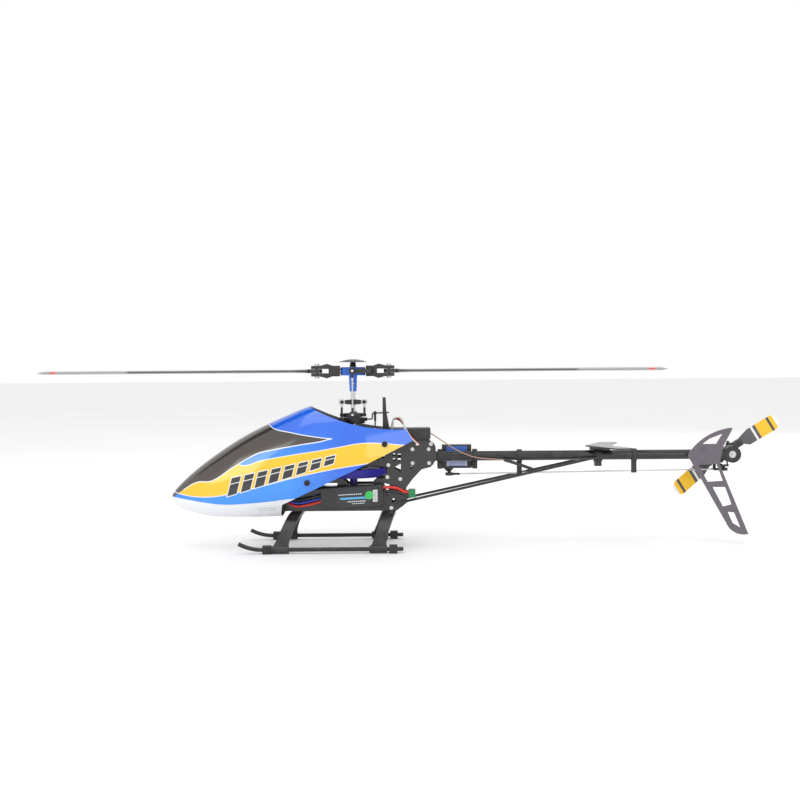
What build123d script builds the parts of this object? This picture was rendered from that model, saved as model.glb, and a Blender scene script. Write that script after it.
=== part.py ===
from build123d import *

import os
from math import cos, pi, radians, sin, tan

# A remote control helicopter of the 450 class, in millimetres.
# +X is forward, +Y is to port, +Z is up, and the ground is Z = 0. The mast stands MAST_X in front of
# the origin, which is the middle of the helicopter's footprint. Places along the body are measured
# from the mast, so every plane below has its origin at the mast's foot.

os.makedirs("parts", exist_ok=True)

# Driving dimensions
MAST_X = 68.2
ROTOR_Z = 196.3
ROTOR_R = 350.0
MAST_R = 2.5
BEARING_R = 4.5
PLATE_Y = 13.0
PLATE_T = 1.4
PLATE_BOTTOM = 41.0
DECK_Z = 118.4

BLADE_BOLT_X = 40.5
BLADE_CHORD = 32.0
BLADE_T = 3.8
PITCH_ARM = 18.0
SWASH_BALL_Z = 147.4
ARM_PIVOT_X = 6.3
ARM_BALL_X = 12.7
ARM_Z = 161.4

GEAR_MODULE = 0.5
GEAR_TEETH = 150
PINION_TEETH = 13
TAIL_GEAR_TEETH = 127
TAIL_PINION_TEETH = 30
GEAR_Z = (81.8, 88.2)
TAIL_GEAR_Z = (78.4, 81.5)
MOTOR_X = GEAR_MODULE * (GEAR_TEETH + PINION_TEETH) / 2
TAIL_DRIVE_X = -GEAR_MODULE * (TAIL_GEAR_TEETH + TAIL_PINION_TEETH) / 2

MOTOR_R = 12.2
ESC_TILT = 3.0
BELT_R = 3.4
PULLEY_SHAFT_R = 1.1
BOOM_Z = 100.0
BOOM_R = 5.5
BOOM_WALL = 0.5
BOOM_FRONT = -62.0
BOOM_BACK = -410.0
TAIL_X = -423.5
TAIL_ROTOR_R = 72.0
TAIL_ROTOR_Y = -27.0
TAIL_BOLT_R = 19.5
FIN_Y = 9.2
FIN_T = 1.5

SKID_Y = 50.0
SKID_Z = 4.5
SKID_R = 2.25
STRUT_W = 13.0
STRUT_T = 3.4

BALL_R = 2.2
EYE_GAP = 0.6
ARM_BALL_R = 1.5
ARM_LINK_Y = 3.9
ROD_R = 0.8
RUN_FIT = 0.06
SERVO = (22.8, 12.0)
SERVO_DEPTH = 20.4
HORN_R = 10.0
SWASH_ARM_R = 25.5
SWASH_FRONT_X = SWASH_ARM_R * cos(radians(60))
SWASH_FRONT_Y = SWASH_ARM_R * sin(radians(60))
REAR_LINK_X = -24.5

FOOT = Plane((MAST_X, 0, 0))


def level(z):
    """Horizontal plane at a height: local x forward, local y to port."""
    return FOOT.offset(z)


def side(y):
    """Upright plane along the body: local x forward, local y up, and extrusions go to starboard."""
    return Plane((MAST_X, y, 0), x_dir=(1, 0, 0), z_dir=(0, -1, 0))


def station(x, z=0.0):
    """Upright plane across the body: local x to port, local y up, and extrusions go forward."""
    return Plane((MAST_X + x, 0, z), x_dir=(0, 1, 0), z_dir=(1, 0, 0))


def at(x, y, z):
    """A point given from the mast's foot."""
    return (MAST_X + x, y, z)


def drum(radius, height, where, along=(0, 0, 1), bore=0.0):
    """A plain round, centred on a point given from the mast's foot, with an optional bore."""
    plane = Plane(at(*where), z_dir=along)
    with BuildPart(mode=Mode.PRIVATE) as made:
        with BuildSketch(plane.offset(-height / 2)):
            Circle(radius)
            if bore:
                Circle(bore, mode=Mode.SUBTRACT)
        extrude(amount=height)
    return made.part


def link_rod(start, end, radius):
    """A straight round rod between two points given from the mast's foot."""
    a, b = Vector(*at(*start)), Vector(*at(*end))
    with BuildPart(mode=Mode.PRIVATE) as made:
        with BuildSketch(Plane(a, z_dir=b - a)):
            Circle(radius)
        extrude(amount=(b - a).length)
    return made.part


def eye(where, along, toward, neck=7.0, reach=BALL_R + EYE_GAP, wide=3.0):
    """A plastic ball link: a ring round a ball, and a neck towards the rod that it is screwed on."""
    centre = Vector(*at(*where))
    way = Vector(*toward).normalized()
    with BuildPart(mode=Mode.PRIVATE) as made:
        with BuildSketch(Plane(centre, z_dir=along).offset(-wide / 2)):
            Circle(reach + wide * 0.4 - 0.3 * (wide < 3))
        extrude(amount=wide)
        with BuildSketch(Plane(centre + way * (reach + 0.4), z_dir=way)):
            Circle(0.43 * wide)
        extrude(amount=neck)
        with BuildSketch(Plane(centre, z_dir=along).offset(-2.0)):
            Circle(reach)
        extrude(amount=4.0, mode=Mode.SUBTRACT)
    return made.part


def ball(where, along, stud):
    """A steel ball on the end of a short stud that reaches back along a direction."""
    centre = Vector(*at(*where))
    with BuildPart(mode=Mode.PRIVATE) as made:
        with Locations(centre):
            Sphere(BALL_R)
        with BuildSketch(Plane(centre, z_dir=along)):
            Circle(1.0)
        extrude(amount=stud)
    return made.part


def lead(points, radius, name):
    """A round wire whose arcs are as large as its runs allow."""
    spots = [Vector(*at(*p)) for p in points]
    radii = []
    for before, here, after in zip(spots, spots[1:], spots[2:]):
        turn = radians((here - before).get_angle(after - here))
        shorter = min((here - before).length, (after - here).length)
        radii.append(0.45 * shorter / tan(turn / 2))
    with BuildPart(mode=Mode.PRIVATE) as made:
        with BuildLine() as path:
            FilletPolyline(*spots, radius=radii)
        with BuildSketch(Plane(spots[0], z_dir=spots[1] - spots[0])):
            Circle(radius)
        sweep(path=path.wires()[0])
    length = path.wires()[0].length
    share = made.part.volume / (pi * radius**2 * length)
    print(name, "length", round(length, 1), "least radius", round(min(radii), 1), "volume", round(share, 3))
    return made.part


def save(piece, name):
    """Names a finished piece and writes its STEP file."""
    piece.part.label = name
    export_step(piece.part, f"parts/{name}.step")


# Mast and rotor head
with BuildPart() as main_shaft:
    add(drum(MAST_R, 123.2, (0, 0, 132.4)))
save(main_shaft, "main_shaft")

with BuildPart() as rotor_hub:
    with BuildSketch(level(173.4)) as lower:
        Circle(3.9)
    with BuildSketch(level(191.4)) as upper:
        Circle(4.7)
    loft()
    with BuildSketch(level(191.3)):
        SlotOverall(27.6, 9.6)
    extrude(amount=9.3)
    fillet(rotor_hub.faces().sort_by(Axis.Z)[-1].edges(), 0.8)
    add(drum(MAST_R + 0.02, 22.2, (0, 0, 184.3)), mode=Mode.SUBTRACT)
    add(drum(2.02, 40.0, (0, 0, ROTOR_Z), (1, 0, 0)), mode=Mode.SUBTRACT)
    for z, half in ((196.3, 4.9), (182.0, 4.45)):
        add(drum(1.5, 1.6, (0, half + 0.4, z), (0, 1, 0)))
save(rotor_hub, "rotor_hub")

with BuildPart() as head_button:
    with BuildSketch(level(200.7)):
        Circle(4.0)
    with BuildSketch(level(206.4)):
        Circle(2.8)
    loft()
    with Locations(at(0, 0, 206.1 - 39.6)):
        Sphere(43.0)
    with BuildSketch(level(206.1)) as keep:
        Circle(16.8)
    extrude(amount=6.0, mode=Mode.INTERSECT)
    with BuildSketch(level(200.7)):
        Circle(4.0)
    with BuildSketch(level(206.4)):
        Circle(2.8)
    loft()
save(head_button, "head_button")

with BuildPart() as feathering_spindle:
    add(drum(2.0, 54.0, (0, 0, ROTOR_Z), (1, 0, 0)))
    for end in (-1, 1):
        add(drum(3.0, 1.2, (end * 26.4, 0, ROTOR_Z), (1, 0, 0)))
save(feathering_spindle, "feathering_spindle")

# Blade grips: a round barrel on the spindle, a two-eared clevis and an arm beside the hub
for name, way in (("grip_front", 1), ("grip_rear", -1)):
    arm_y = -way * PITCH_ARM
    with BuildPart() as grip:
        with BuildSketch(side(0)):
            with BuildLine():
                Polyline(
                    (way * 14.6, ROTOR_Z + 6.0), (way * 23.0, ROTOR_Z + 6.0), (way * 29.0, ROTOR_Z + 8.1),
                    (way * 36.0, ROTOR_Z + 6.2), (way * 46.5, ROTOR_Z + 5.9), (way * 46.5, ROTOR_Z - 5.9),
                    (way * 36.0, ROTOR_Z - 6.2), (way * 29.0, ROTOR_Z - 8.1), (way * 23.0, ROTOR_Z - 6.0),
                    (way * 14.6, ROTOR_Z - 6.0), close=True,
                )
            make_face()
        extrude(amount=6.2, both=True)
        fillet(grip.edges().filter_by(Axis.X), 1.6)
        with BuildSketch(side(0)):
            with Locations((way * 39.5, ROTOR_Z)):
                Rectangle(25.0, 4.8)
        extrude(amount=9.0, both=True, mode=Mode.SUBTRACT)
        with BuildSketch(level(ROTOR_Z - 2.6)):
            Polygon(
                (way * 15.0, arm_y * 0.3), (way * 23.0, arm_y * 0.3), (way * 21.0, arm_y * 0.6),
                (way * 8.0, arm_y * 0.76), (-way * 2.4, arm_y * 0.76), (-way * 2.4, arm_y * 0.56),
                (way * 6.0, arm_y * 0.54), align=None,
            )
        extrude(amount=5.2)
        add(drum(2.04, 14.0, (way * 18.0, 0, ROTOR_Z), (1, 0, 0)), mode=Mode.SUBTRACT)
        add(drum(4.2, 4.4, (way * 24.0 + way * 2.4, 0, ROTOR_Z), (1, 0, 0)), mode=Mode.SUBTRACT)
        add(drum(1.5, 20.0, (way * BLADE_BOLT_X, 0, ROTOR_Z)), mode=Mode.SUBTRACT)
    with BuildPart() as whole:
        add(grip.part)
        add(drum(1.45, 14.6, (way * BLADE_BOLT_X, 0, ROTOR_Z)))
        add(drum(2.7, 2.2, (way * BLADE_BOLT_X, 0, ROTOR_Z + 7.0)))
        add(drum(2.7, 2.2, (way * BLADE_BOLT_X, 0, ROTOR_Z - 7.0)))
        add(ball((0, arm_y, ROTOR_Z), (0, way, 0), 4.6))
    save(whole, name)

# Main blades: a thin even section, a thicker root with the bolt hole and a tip that thins out
for name, way in (("blade_front", 1), ("blade_rear", -1)):
    with BuildPart() as blade:
        with BuildSketch(station(way * 50.0, ROTOR_Z)):
            Ellipse(7.6, 2.2)
        with BuildSketch(station(way * 66.0, ROTOR_Z)):
            Ellipse(BLADE_CHORD / 2, BLADE_T / 2)
        with BuildSketch(station(way * 345.0, ROTOR_Z)):
            Ellipse(BLADE_CHORD / 2, BLADE_T / 2)
        with BuildSketch(station(way * ROTOR_R, ROTOR_Z)):
            Ellipse(BLADE_CHORD / 2 - 2.0, BLADE_T / 4)
        loft(ruled=True)
        with BuildSketch(level(ROTOR_Z - 2.2)):
            with Locations((way * 43.4, 0)):
                SlotOverall(18.0, 12.4)
        extrude(amount=4.4)
        add(drum(1.52, 8.0, (way * BLADE_BOLT_X, 0, ROTOR_Z)), mode=Mode.SUBTRACT)
    save(blade, name)

# Drive collar on the mast, and the two arms that turn the swashplate
with BuildPart() as drive_collar:
    add(drum(4.3, 5.6, (0, 0, ARM_Z)))
    with Locations(at(0, 0, ARM_Z)):
        Box(15.4, 6.0, 5.0)
        Box(30.0, 3.2, 8.0, mode=Mode.SUBTRACT)
    add(drum(3.2, 5.6, (0, 0, ARM_Z)))
    for end in (-1, 1):
        add(drum(0.8, 7.4, (end * ARM_PIVOT_X, 0, ARM_Z), (0, 1, 0)))
    add(drum(MAST_R + 0.02, 8.0, (0, 0, ARM_Z)), mode=Mode.SUBTRACT)
save(drive_collar, "drive_collar")

for name, way in (("drive_arm_front", 1), ("drive_arm_rear", -1)):
    with BuildPart() as arm:
        with BuildSketch(side(1.4)):
            with Locations((way * (ARM_PIVOT_X + ARM_BALL_X) / 2, ARM_Z)):
                SlotCenterToCenter(ARM_BALL_X - ARM_PIVOT_X, 4.0)
        extrude(amount=2.8)
        add(drum(0.8 + RUN_FIT, 4.0, (way * ARM_PIVOT_X, 0, ARM_Z), (0, 1, 0)), mode=Mode.SUBTRACT)
        add(drum(0.9, 4.0, (way * ARM_BALL_X, 2.6, ARM_Z), (0, 1, 0)))
        with Locations(at(way * ARM_BALL_X, ARM_LINK_Y, ARM_Z)):
            Sphere(ARM_BALL_R)
    save(arm, name)

# Swashplate: the lower ring slides with its ball sleeve, the upper ring turns with the mast
with BuildPart() as swash_lower:
    add(drum(13.5, 6.4, (0, 0, 140.9)))
    fillet(swash_lower.edges().filter_by(GeomType.CIRCLE), 0.8)
    add(drum(4.2, 12.2, (0, 0, 144.0)))
    for angle in (60, -60):
        out = (cos(radians(angle)), sin(radians(angle)), 0)
        spot = (SWASH_ARM_R * out[0], SWASH_ARM_R * out[1], 140.9)
        add(ball(spot, (-out[0], -out[1], 0), 12.4))
        add(link_rod((11.0 * out[0], 11.0 * out[1], 140.9), (18.6 * out[0], 18.6 * out[1], 140.9), 2.4))
    add(link_rod((-12.0, 0, 142.1), (-15.6, 0, 142.1), 2.0))
    with BuildLine() as bend:
        FilletPolyline(
            at(-15.0, 0, 142.1), at(-21.2, 0, 142.1), at(-21.6, 0, 148.75), at(-40.0, 0, 149.3), radius=1.4
        )
    with BuildSketch(Plane(at(-15.0, 0, 142.1), z_dir=(-1, 0, 0))):
        Circle(ROD_R)
    sweep(path=bend.wires()[0])
    add(drum(MAST_R + RUN_FIT, 20.0, (0, 0, 144.0)), mode=Mode.SUBTRACT)
save(swash_lower, "swash_lower")

with BuildPart() as swash_upper:
    add(drum(11.0, 4.2, (0, 0, 146.9)))
    fillet(swash_upper.edges().filter_by(GeomType.CIRCLE), 0.7)
    with BuildSketch(level(145.2)):
        SlotOverall(29.0, 5.0)
    extrude(amount=3.4)
    for end in (-1, 1):
        add(ball((0, end * PITCH_ARM, SWASH_BALL_Z), (0, -end, 0), 8.0))
        add(drum(1.0, 3.0, (end * ARM_BALL_X, 3.2, SWASH_BALL_Z), (0, 1, 0)))
    add(drum(4.5, 8.0, (0, 0, 146.9)), mode=Mode.SUBTRACT)
save(swash_upper, "swash_upper")

with BuildPart() as swash_links:
    for end in (-1, 1):
        low = (0, end * PITCH_ARM, SWASH_BALL_Z)
        high = (0, end * PITCH_ARM, ROTOR_Z)
        add(eye(low, (0, 1, 0), (0, 0, 1)))
        add(eye(high, (0, 1, 0), (0, 0, -1)))
        add(link_rod((0, end * PITCH_ARM, 156.0), (0, end * PITCH_ARM, 188.0), ROD_R))
        top = (end * ARM_BALL_X, ARM_LINK_Y, ARM_Z)
        add(eye(top, (0, 1, 0), (0, 0, -1), neck=9.4, reach=ARM_BALL_R + 0.9))
        add(drum(2.2, 2.6, (end * ARM_BALL_X, ARM_LINK_Y + 0.9, SWASH_BALL_Z), (0, 1, 0), bore=1.02))
save(swash_links, "swash_links")

# Cyclic servos, their horns and the rods up to the lower ring
HORNS = {
    "servo_horn_left": (SWASH_FRONT_X, SWASH_FRONT_Y, 103.0, 1),
    "servo_horn_right": (SWASH_FRONT_X, -SWASH_FRONT_Y, 116.0, 1),
    "servo_horn_rear": (REAR_LINK_X, 5.0, 112.3, -1),
}
with BuildPart() as servo_rods:
    for angle, horn in ((60, "servo_horn_left"), (-60, "servo_horn_right")):
        x, y, z, _ = HORNS[horn]
        out = (cos(radians(angle)), sin(radians(angle)), 0)
        add(eye((x, y, 140.9), out, (0, 0, -1), neck=6.0))
        add(eye((x, y, z), (0, 1, 0), (0, 0, 1), neck=6.0))
        add(link_rod((x, y, z + 8.0), (x, y, 133.0), ROD_R))
    x, y, z, _ = HORNS["servo_horn_rear"]
    up = (0, -y, 36.6)
    add(eye((x, 0, 148.86), (1, 0, 0), (0, 0, -1), neck=7.6, reach=ROD_R + 0.12))
    add(eye((x, y, z), (0, 1, 0), up, neck=6.0))
    add(link_rod((x, y * 0.8, z + 7.32), (x, 0, 141.0), ROD_R))
save(servo_rods, "servo_rods")

for name, (x, y, z, way) in HORNS.items():
    face = 1 if y > 0 else -1
    pivot = (x + way * HORN_R, y - face * 2.9, z)
    with BuildPart() as horn:
        with BuildSketch(side(y - face * 2.9 + 0.7)):
            with Locations((x + way * HORN_R / 2, z)):
                SlotCenterToCenter(HORN_R, 3.6)
            with Locations((pivot[0], z)):
                Circle(3.2)
        extrude(amount=1.4)
        add(ball((x, y, z), (0, -face, 0), 3.2))
    save(horn, name)

with BuildPart() as cyclic_servos:
    for name, (x, y, z, way) in HORNS.items():
        face = 1 if y > 0 else -1
        top_y = abs(y) - 3.9
        depth = SERVO_DEPTH if abs(y) > 10 else 13.0
        centre_x = x + way * HORN_R - way * (SERVO[0] / 2 - 5.4)
        with Locations(at(centre_x, face * (top_y - 0.5 - depth / 2), z)):
            Box(SERVO[0], depth, SERVO[1])
        if abs(y) > 10:
            with Locations(at(centre_x, face * (PLATE_Y + PLATE_T + 0.9), z)):
                Box(31.4, 1.8, SERVO[1])
        add(drum(2.2, 0.6, (x + way * HORN_R, face * (top_y - 0.3), z), (0, 1, 0)))
save(cyclic_servos, "cyclic_servos")


def gear_outline(teeth, phase):
    """Corner points of a spur gear with straight flanks, a little thin so that a pair runs freely."""
    pitch = 360 / teeth
    inner, outer = GEAR_MODULE * (teeth / 2 - 1.25), GEAR_MODULE * (teeth / 2 + 0.8)
    points = []
    for tooth in range(teeth):
        middle = phase + tooth * pitch
        for share, radius in ((-0.29, inner), (-0.10, outer), (0.10, outer), (0.29, inner)):
            angle = radians(middle + share * pitch)
            points.append((radius * cos(angle), radius * sin(angle)))
    return points


# Drive train
with BuildPart() as main_gear:
    with BuildSketch(level(GEAR_Z[0])):
        Polygon(*gear_outline(GEAR_TEETH, 0), align=None)
        Circle(33.5, mode=Mode.SUBTRACT)
    extrude(amount=GEAR_Z[1] - GEAR_Z[0])
    with BuildSketch(level(GEAR_Z[0] + 1.4)):
        Circle(34.0)
        with PolarLocations(21.0, 6):
            Circle(6.4, mode=Mode.SUBTRACT)
    extrude(amount=3.0)
    add(drum(8.6, 12.0, (0, 0, 82.2)))
    add(drum(4.3, 7.0, (0, 0, 73.6)))
    add(drum(MAST_R + 0.02, 30.0, (0, 0, 80.0)), mode=Mode.SUBTRACT)
save(main_gear, "main_gear")

with BuildPart() as tail_drive_gear:
    with BuildSketch(level(TAIL_GEAR_Z[0])):
        Polygon(*gear_outline(TAIL_GEAR_TEETH, 180), align=None)
        Circle(8.62, mode=Mode.SUBTRACT)
        with PolarLocations(20.0, 6):
            Circle(5.0, mode=Mode.SUBTRACT)
    extrude(amount=TAIL_GEAR_Z[1] - TAIL_GEAR_Z[0])
save(tail_drive_gear, "tail_drive_gear")

with BuildPart() as tail_drive_pulley:
    with BuildSketch(level(TAIL_GEAR_Z[0])):
        with Locations((TAIL_DRIVE_X, 0)):
            Polygon(*gear_outline(TAIL_PINION_TEETH, 180 / TAIL_PINION_TEETH), align=None)
    extrude(amount=TAIL_GEAR_Z[1] - TAIL_GEAR_Z[0])
    add(drum(PULLEY_SHAFT_R, 28.6, (TAIL_DRIVE_X, 0, 90.6)))
    add(drum(BELT_R, 9.4, (TAIL_DRIVE_X, 0, BOOM_Z)))
    for z in (BOOM_Z - 3.4, BOOM_Z + 3.4):
        add(drum(5.4, 1.0, (TAIL_DRIVE_X, 0, z)))
save(tail_drive_pulley, "tail_drive_pulley")

with BuildPart() as motor_stator:
    add(drum(9.6, 2.4, (MOTOR_X, 0, 94.2)))
    add(drum(8.6, 18.6, (MOTOR_X, 0, 104.2)))
    add(drum(1.5 + RUN_FIT, 40.0, (MOTOR_X, 0, 104.0)), mode=Mode.SUBTRACT)
save(motor_stator, "motor_stator")

with BuildPart() as motor_bell:
    add(drum(MOTOR_R, 20.6, (MOTOR_X, 0, 107.3), bore=MOTOR_R - 1.4))
    add(drum(MOTOR_R, 2.4, (MOTOR_X, 0, 116.4)))
    with Locations(level(115.0)):
        with Locations((MOTOR_X, 0)):
            with PolarLocations(7.2, 6):
                Cylinder(1.9, 8.0, mode=Mode.SUBTRACT)
    add(drum(1.5, 38.4, (MOTOR_X, 0, 99.6)))
    with BuildSketch(level(80.6)):
        with Locations((MOTOR_X, 0)):
            Polygon(*gear_outline(PINION_TEETH, 0), align=None)
    extrude(amount=8.6)
save(motor_bell, "motor_bell")

# Frame: two side plates, the blocks and spacers between them, and their screws
SIDE_HOLES = ((-27.0, 98.6, 2.0), (-33.3, 101.2, 2.2), (-45.2, 103.0, 1.9), (-45.2, 97.4, 1.9),
               (-64.6, 88.5, 1.6), (-45.0, 52.0, 2.6), (-72.0, 113.6, 2.4), (-22.0, 62.0, 3.0))
with BuildPart() as frame_plates:
    for y in (PLATE_Y + PLATE_T, -PLATE_Y):
        with BuildSketch(side(y)):
            with BuildLine():
                Polyline(
                    (-91.9, 96.5), (-91.9, 112.0), (-85.5, DECK_Z), (-44.5, DECK_Z), (-43.0, 128.0),
                    (18.0, 128.0), (34.0, 120.0), (56.0, 100.0), (56.0, 72.0), (74.0, 60.0), (74.0, 46.0),
                    (67.0, PLATE_BOTTOM), (-48.0, PLATE_BOTTOM), (-60.0, 50.0), (-58.6, 66.0),
                    (-66.0, 76.0), (-76.0, 86.5), (-86.0, 89.0), close=True,
                )
            make_face()
            for points in (
                ((-37.4, 76.8), (-27.0, 76.8), (-21.5, 70.8), (5.6, 70.8), (12.0, 76.8), (37.4, 76.8),
                 (37.4, 90.0), (-37.4, 90.0)),
                ((5.2, 96.8), (28.5, 96.8), (28.5, 122.2), (5.2, 122.2)),
                ((17.4, 72.0), (43.0, 72.0), (46.0, 50.0), (22.0, 50.0)),
                ((-53.0, 95.0), (-49.6, 95.0), (-49.6, 104.0), (-53.0, 104.0)),
                ((-52.8, 93.0), (-44.0, 88.0), (-52.8, 84.0)),
                ((-40.5, 70.0), (-33.0, 72.0), (-38.0, 56.0)),
            ):
                Polygon(*points, align=None, mode=Mode.SUBTRACT)
            for x, z, radius in SIDE_HOLES:
                with Locations((x, z)):
                    Circle(radius, mode=Mode.SUBTRACT)
        extrude(amount=PLATE_T)
    fillet(frame_plates.edges().filter_by(Axis.Y).filter_by(
        lambda e: e.center().X < MAST_X - 75 and e.center().Z > 108), 4.0)
save(frame_plates, "frame_plates")

with BuildPart() as frame_blocks:
    with BuildSketch(level(90.4)):
        with Locations((0, 0)):
            Rectangle(22.0, 2 * PLATE_Y)
    extrude(amount=6.0)
    with BuildSketch(level(122.7)):
        Rectangle(22.0, 2 * PLATE_Y)
    extrude(amount=5.3)
    for z in (92.4, 125.9):
        add(drum(5.5, 4.2, (0, 0, z)), mode=Mode.SUBTRACT)
    add(drum(3.4, 60.0, (0, 0, 110.0)), mode=Mode.SUBTRACT)
    with BuildSketch(level(90.4)):
        with Locations(((MOTOR_X), 0)):
            Rectangle(28.0, 2 * PLATE_Y)
            Circle(4.4, mode=Mode.SUBTRACT)
        with Locations((TAIL_DRIVE_X, 0)):
            Rectangle(13.0, 2 * PLATE_Y)
            Circle(PULLEY_SHAFT_R + RUN_FIT, mode=Mode.SUBTRACT)
    extrude(amount=2.6)
    with BuildSketch(side(PLATE_Y)):
        with Locations((-76.0, 101.4)):
            Rectangle(27.0, 19.8)
    extrude(amount=2 * PLATE_Y)
    add(drum(BOOM_R, 40.0, (-76.0, 0, BOOM_Z), (1, 0, 0)), mode=Mode.SUBTRACT)
save(frame_blocks, "frame_blocks")

with BuildPart() as ball_bearings:
    for z in (92.4, 125.9):
        add(drum(5.5, 4.0, (0, 0, z), bore=MAST_R + RUN_FIT))
    for y in (-6.6, 5.8):
        add(drum(4.0, 2.4, (TAIL_X, y, BOOM_Z), (0, 1, 0), bore=1.5 + RUN_FIT))
save(ball_bearings, "ball_bearings")

SPACERS = ((-86.4, 114.6), (51.0, 79.0), (69.0, 56.5), (-52.3, 76.2), (-38.0, 78.4))
BLOCK_SCREWS = ((-84.0, 109.0), (-84.3, 93.6), (-66.0, 109.0), (-66.0, 93.6), (-8.0, 93.4), (-8.0, 125.4),
                (31.0, 91.7), (50.0, 91.7), (-39.2, 91.7), (-38.0, 122.0), (-42.2, 44.2))
CANOPY_POSTS = ((49.1, 75.0, 38.0), (-35.5, 115.9, 29.6))
with BuildPart() as frame_fasteners:
    for x, z in SPACERS[:3] + ((-53.0, 47.0),):
        add(drum(2.4, 2 * PLATE_Y, (x, 0, z), (0, 1, 0)))
    for x, z in SPACERS + BLOCK_SCREWS:
        for way in (-1, 1):
            add(drum(2.1, 1.3, (x, way * (PLATE_Y + PLATE_T + 0.65), z), (0, 1, 0)))
            add(drum(0.9, 0.6, (x, way * (PLATE_Y + PLATE_T + 1.2), z), (0, 1, 0)), mode=Mode.SUBTRACT)
    for x, z, reach in CANOPY_POSTS:
        inner = PLATE_Y + PLATE_T
        for way in (-1, 1):
            add(drum(1.5, reach - inner, (x, way * (reach + inner) / 2, z), (0, 1, 0)))
save(frame_fasteners, "frame_fasteners")

with BuildPart() as guide_post:
    with BuildSketch(level(118.6)):
        with Locations((-37.0, 0)):
            Rectangle(10.0, 2 * PLATE_Y)
    extrude(amount=6.4)
    with BuildSketch(side(3.0)):
        Polygon(
            (-33.0, 124.0), (-42.0, 124.0), (-37.2, 150.0), (-36.5, 166.4), (-33.0, 166.4), align=None
        )
    extrude(amount=6.0)
    with Locations(at(-37.0, 0, 149.3)):
        Box(12.0, 2 * (ROD_R + 0.25), 14.0, mode=Mode.SUBTRACT)
save(guide_post, "guide_post")

with BuildPart() as battery_tray:
    with BuildSketch(level(PLATE_BOTTOM + 0.2)):
        with Locations((20.0, 0)):
            Rectangle(110.0, 2 * PLATE_Y - 0.4)
    extrude(amount=1.6)
    with BuildSketch(side(PLATE_Y - 0.2)):
        with Locations((74.9, 46.4)):
            RectangleRounded(7.4, 10.8, 2.6)
    extrude(amount=2 * PLATE_Y - 0.4)
save(battery_tray, "battery_tray")

with BuildPart() as battery:
    with Locations(at(16.0, 0, 55.2)):
        Box(100.0, 24.0, 24.0)
    fillet(battery.edges().filter_by(Axis.X), 3.0)
save(battery, "battery")

ESC_PLANE = Plane(at(1.0, 19.6, 57.2)).rotated((0, ESC_TILT, 0))
with BuildPart(ESC_PLANE) as speed_controller:
    Box(68.0, 9.4, 26.0)
    fillet(speed_controller.edges().group_by(SortBy.LENGTH)[-1], 2.2)
save(speed_controller, "speed_controller")

with BuildPart() as receiver:
    with Locations(at(-65.9, 0, 126.2)):
        Box(40.8, 25.0, 11.6)
    fillet(receiver.edges().filter_by(Axis.Z), 1.6)
    fillet(receiver.faces().sort_by(Axis.Z)[-1].edges(), 0.8)
    with Locations(at(-65.9, 0, 119.4)):
        Box(38.0, 24.0, 2.0)
save(receiver, "receiver")

# Wires held along their whole route
with BuildPart() as motor_wires:
    for drop, inset in ((0.0, 0.0), (-3.4, -0.4), (-6.8, 0.4)):
        add(lead((
            (35.5, 19.0 + inset, 59.0 + drop), (50.0, 20.5 + inset, 55.4 + drop),
            (65.0, 20.0 + inset, 53.0 + drop), (75.6, 16.8, 61.0 + drop), (77.0 + drop / 4, 10.0, 76.0 + drop),
            (70.0 + drop / 3, 6.6 + drop, 89.6 + drop / 8), (60.0, 4.0 + drop, 94.4), (50.7, 4.0 + drop, 94.4),
        ), 1.2, "motor wire"))
save(motor_wires, "motor_wires")

with BuildPart() as power_leads:
    for drop in (0.0, -4.2):
        add(lead((
            (-34.0, 18.2, 67.2 + drop), (-42.0, 17.9, 67.6 + drop), (-50.5, 17.2, 66.0 + drop),
            (-56.6, 16.4, 61.6 + drop * 0.6), (-61.2, 16.4, 61.6 + drop * 0.6),
        ), 1.6, "power lead"))
        add(lead((
            (-34.1, 3.0, 60.6 + drop), (-40.0, 3.0, 60.6 + drop), (-50.0, 5.2, 63.4 + drop),
            (-56.4, 8.6, 61.6 + drop * 0.6), (-61.2, 8.6, 61.6 + drop * 0.6),
        ), 1.6, "battery lead"))
save(power_leads, "power_leads")

with BuildPart() as battery_connector:
    with Locations(at(-65.2, 12.4, 60.2)):
        Box(7.6, 14.0, 8.6)
    fillet(battery_connector.edges().filter_by(Axis.X), 1.0)
save(battery_connector, "battery_connector")

ANTENNA_BACK = (-168.0, 8.4, 96.0)
with BuildPart() as signal_leads:
    add(lead((
        (-86.75, 8.0, 126.2), (-94.0, 8.2, 121.4), (-103.0, 8.4, 115.0), (-114.0, 8.6, 107.8),
        (-126.0, 8.8, 102.0), (-139.0, 8.7, 98.2), (-153.0, 8.5, 97.0), ANTENNA_BACK,
    ), 0.65, "antenna"))
    add(lead((
        ANTENNA_BACK, (-176.0, 8.6, 93.6), (-184.0, 8.9, 91.0), (-192.0, 8.6, 88.2), (-200.0, 8.0, 85.2),
    ), 1.8, "antenna sleeve"))
    for shift in (-1.35, 0.0, 1.35):
        add(lead((
            (-44.9, 4.6 + shift, 127.4), (-43.0, 6.2 + shift, 129.6), (-42.6, 9.4 + shift, 136.0),
            (-45.4, 12.4 + shift, 142.6), (-50.6, 15.0 + shift, 143.8), (-55.2, 16.4 + shift, 139.6),
            (-58.0, 16.9 + shift, 133.0), (-61.8, 16.9 + shift, 126.4), (-67.4, 16.7 + shift, 119.8),
            (-74.0, 16.4 + shift, 114.0),
        ), 0.62, "servo lead"))
save(signal_leads, "signal_leads")

# Tail boom, belt and what is clamped to the boom
with BuildPart() as tail_boom:
    add(drum(BOOM_R, BOOM_FRONT - BOOM_BACK, ((BOOM_FRONT + BOOM_BACK) / 2, 0, BOOM_Z), (1, 0, 0),
             bore=BOOM_R - BOOM_WALL))
save(tail_boom, "tail_boom")

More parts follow.
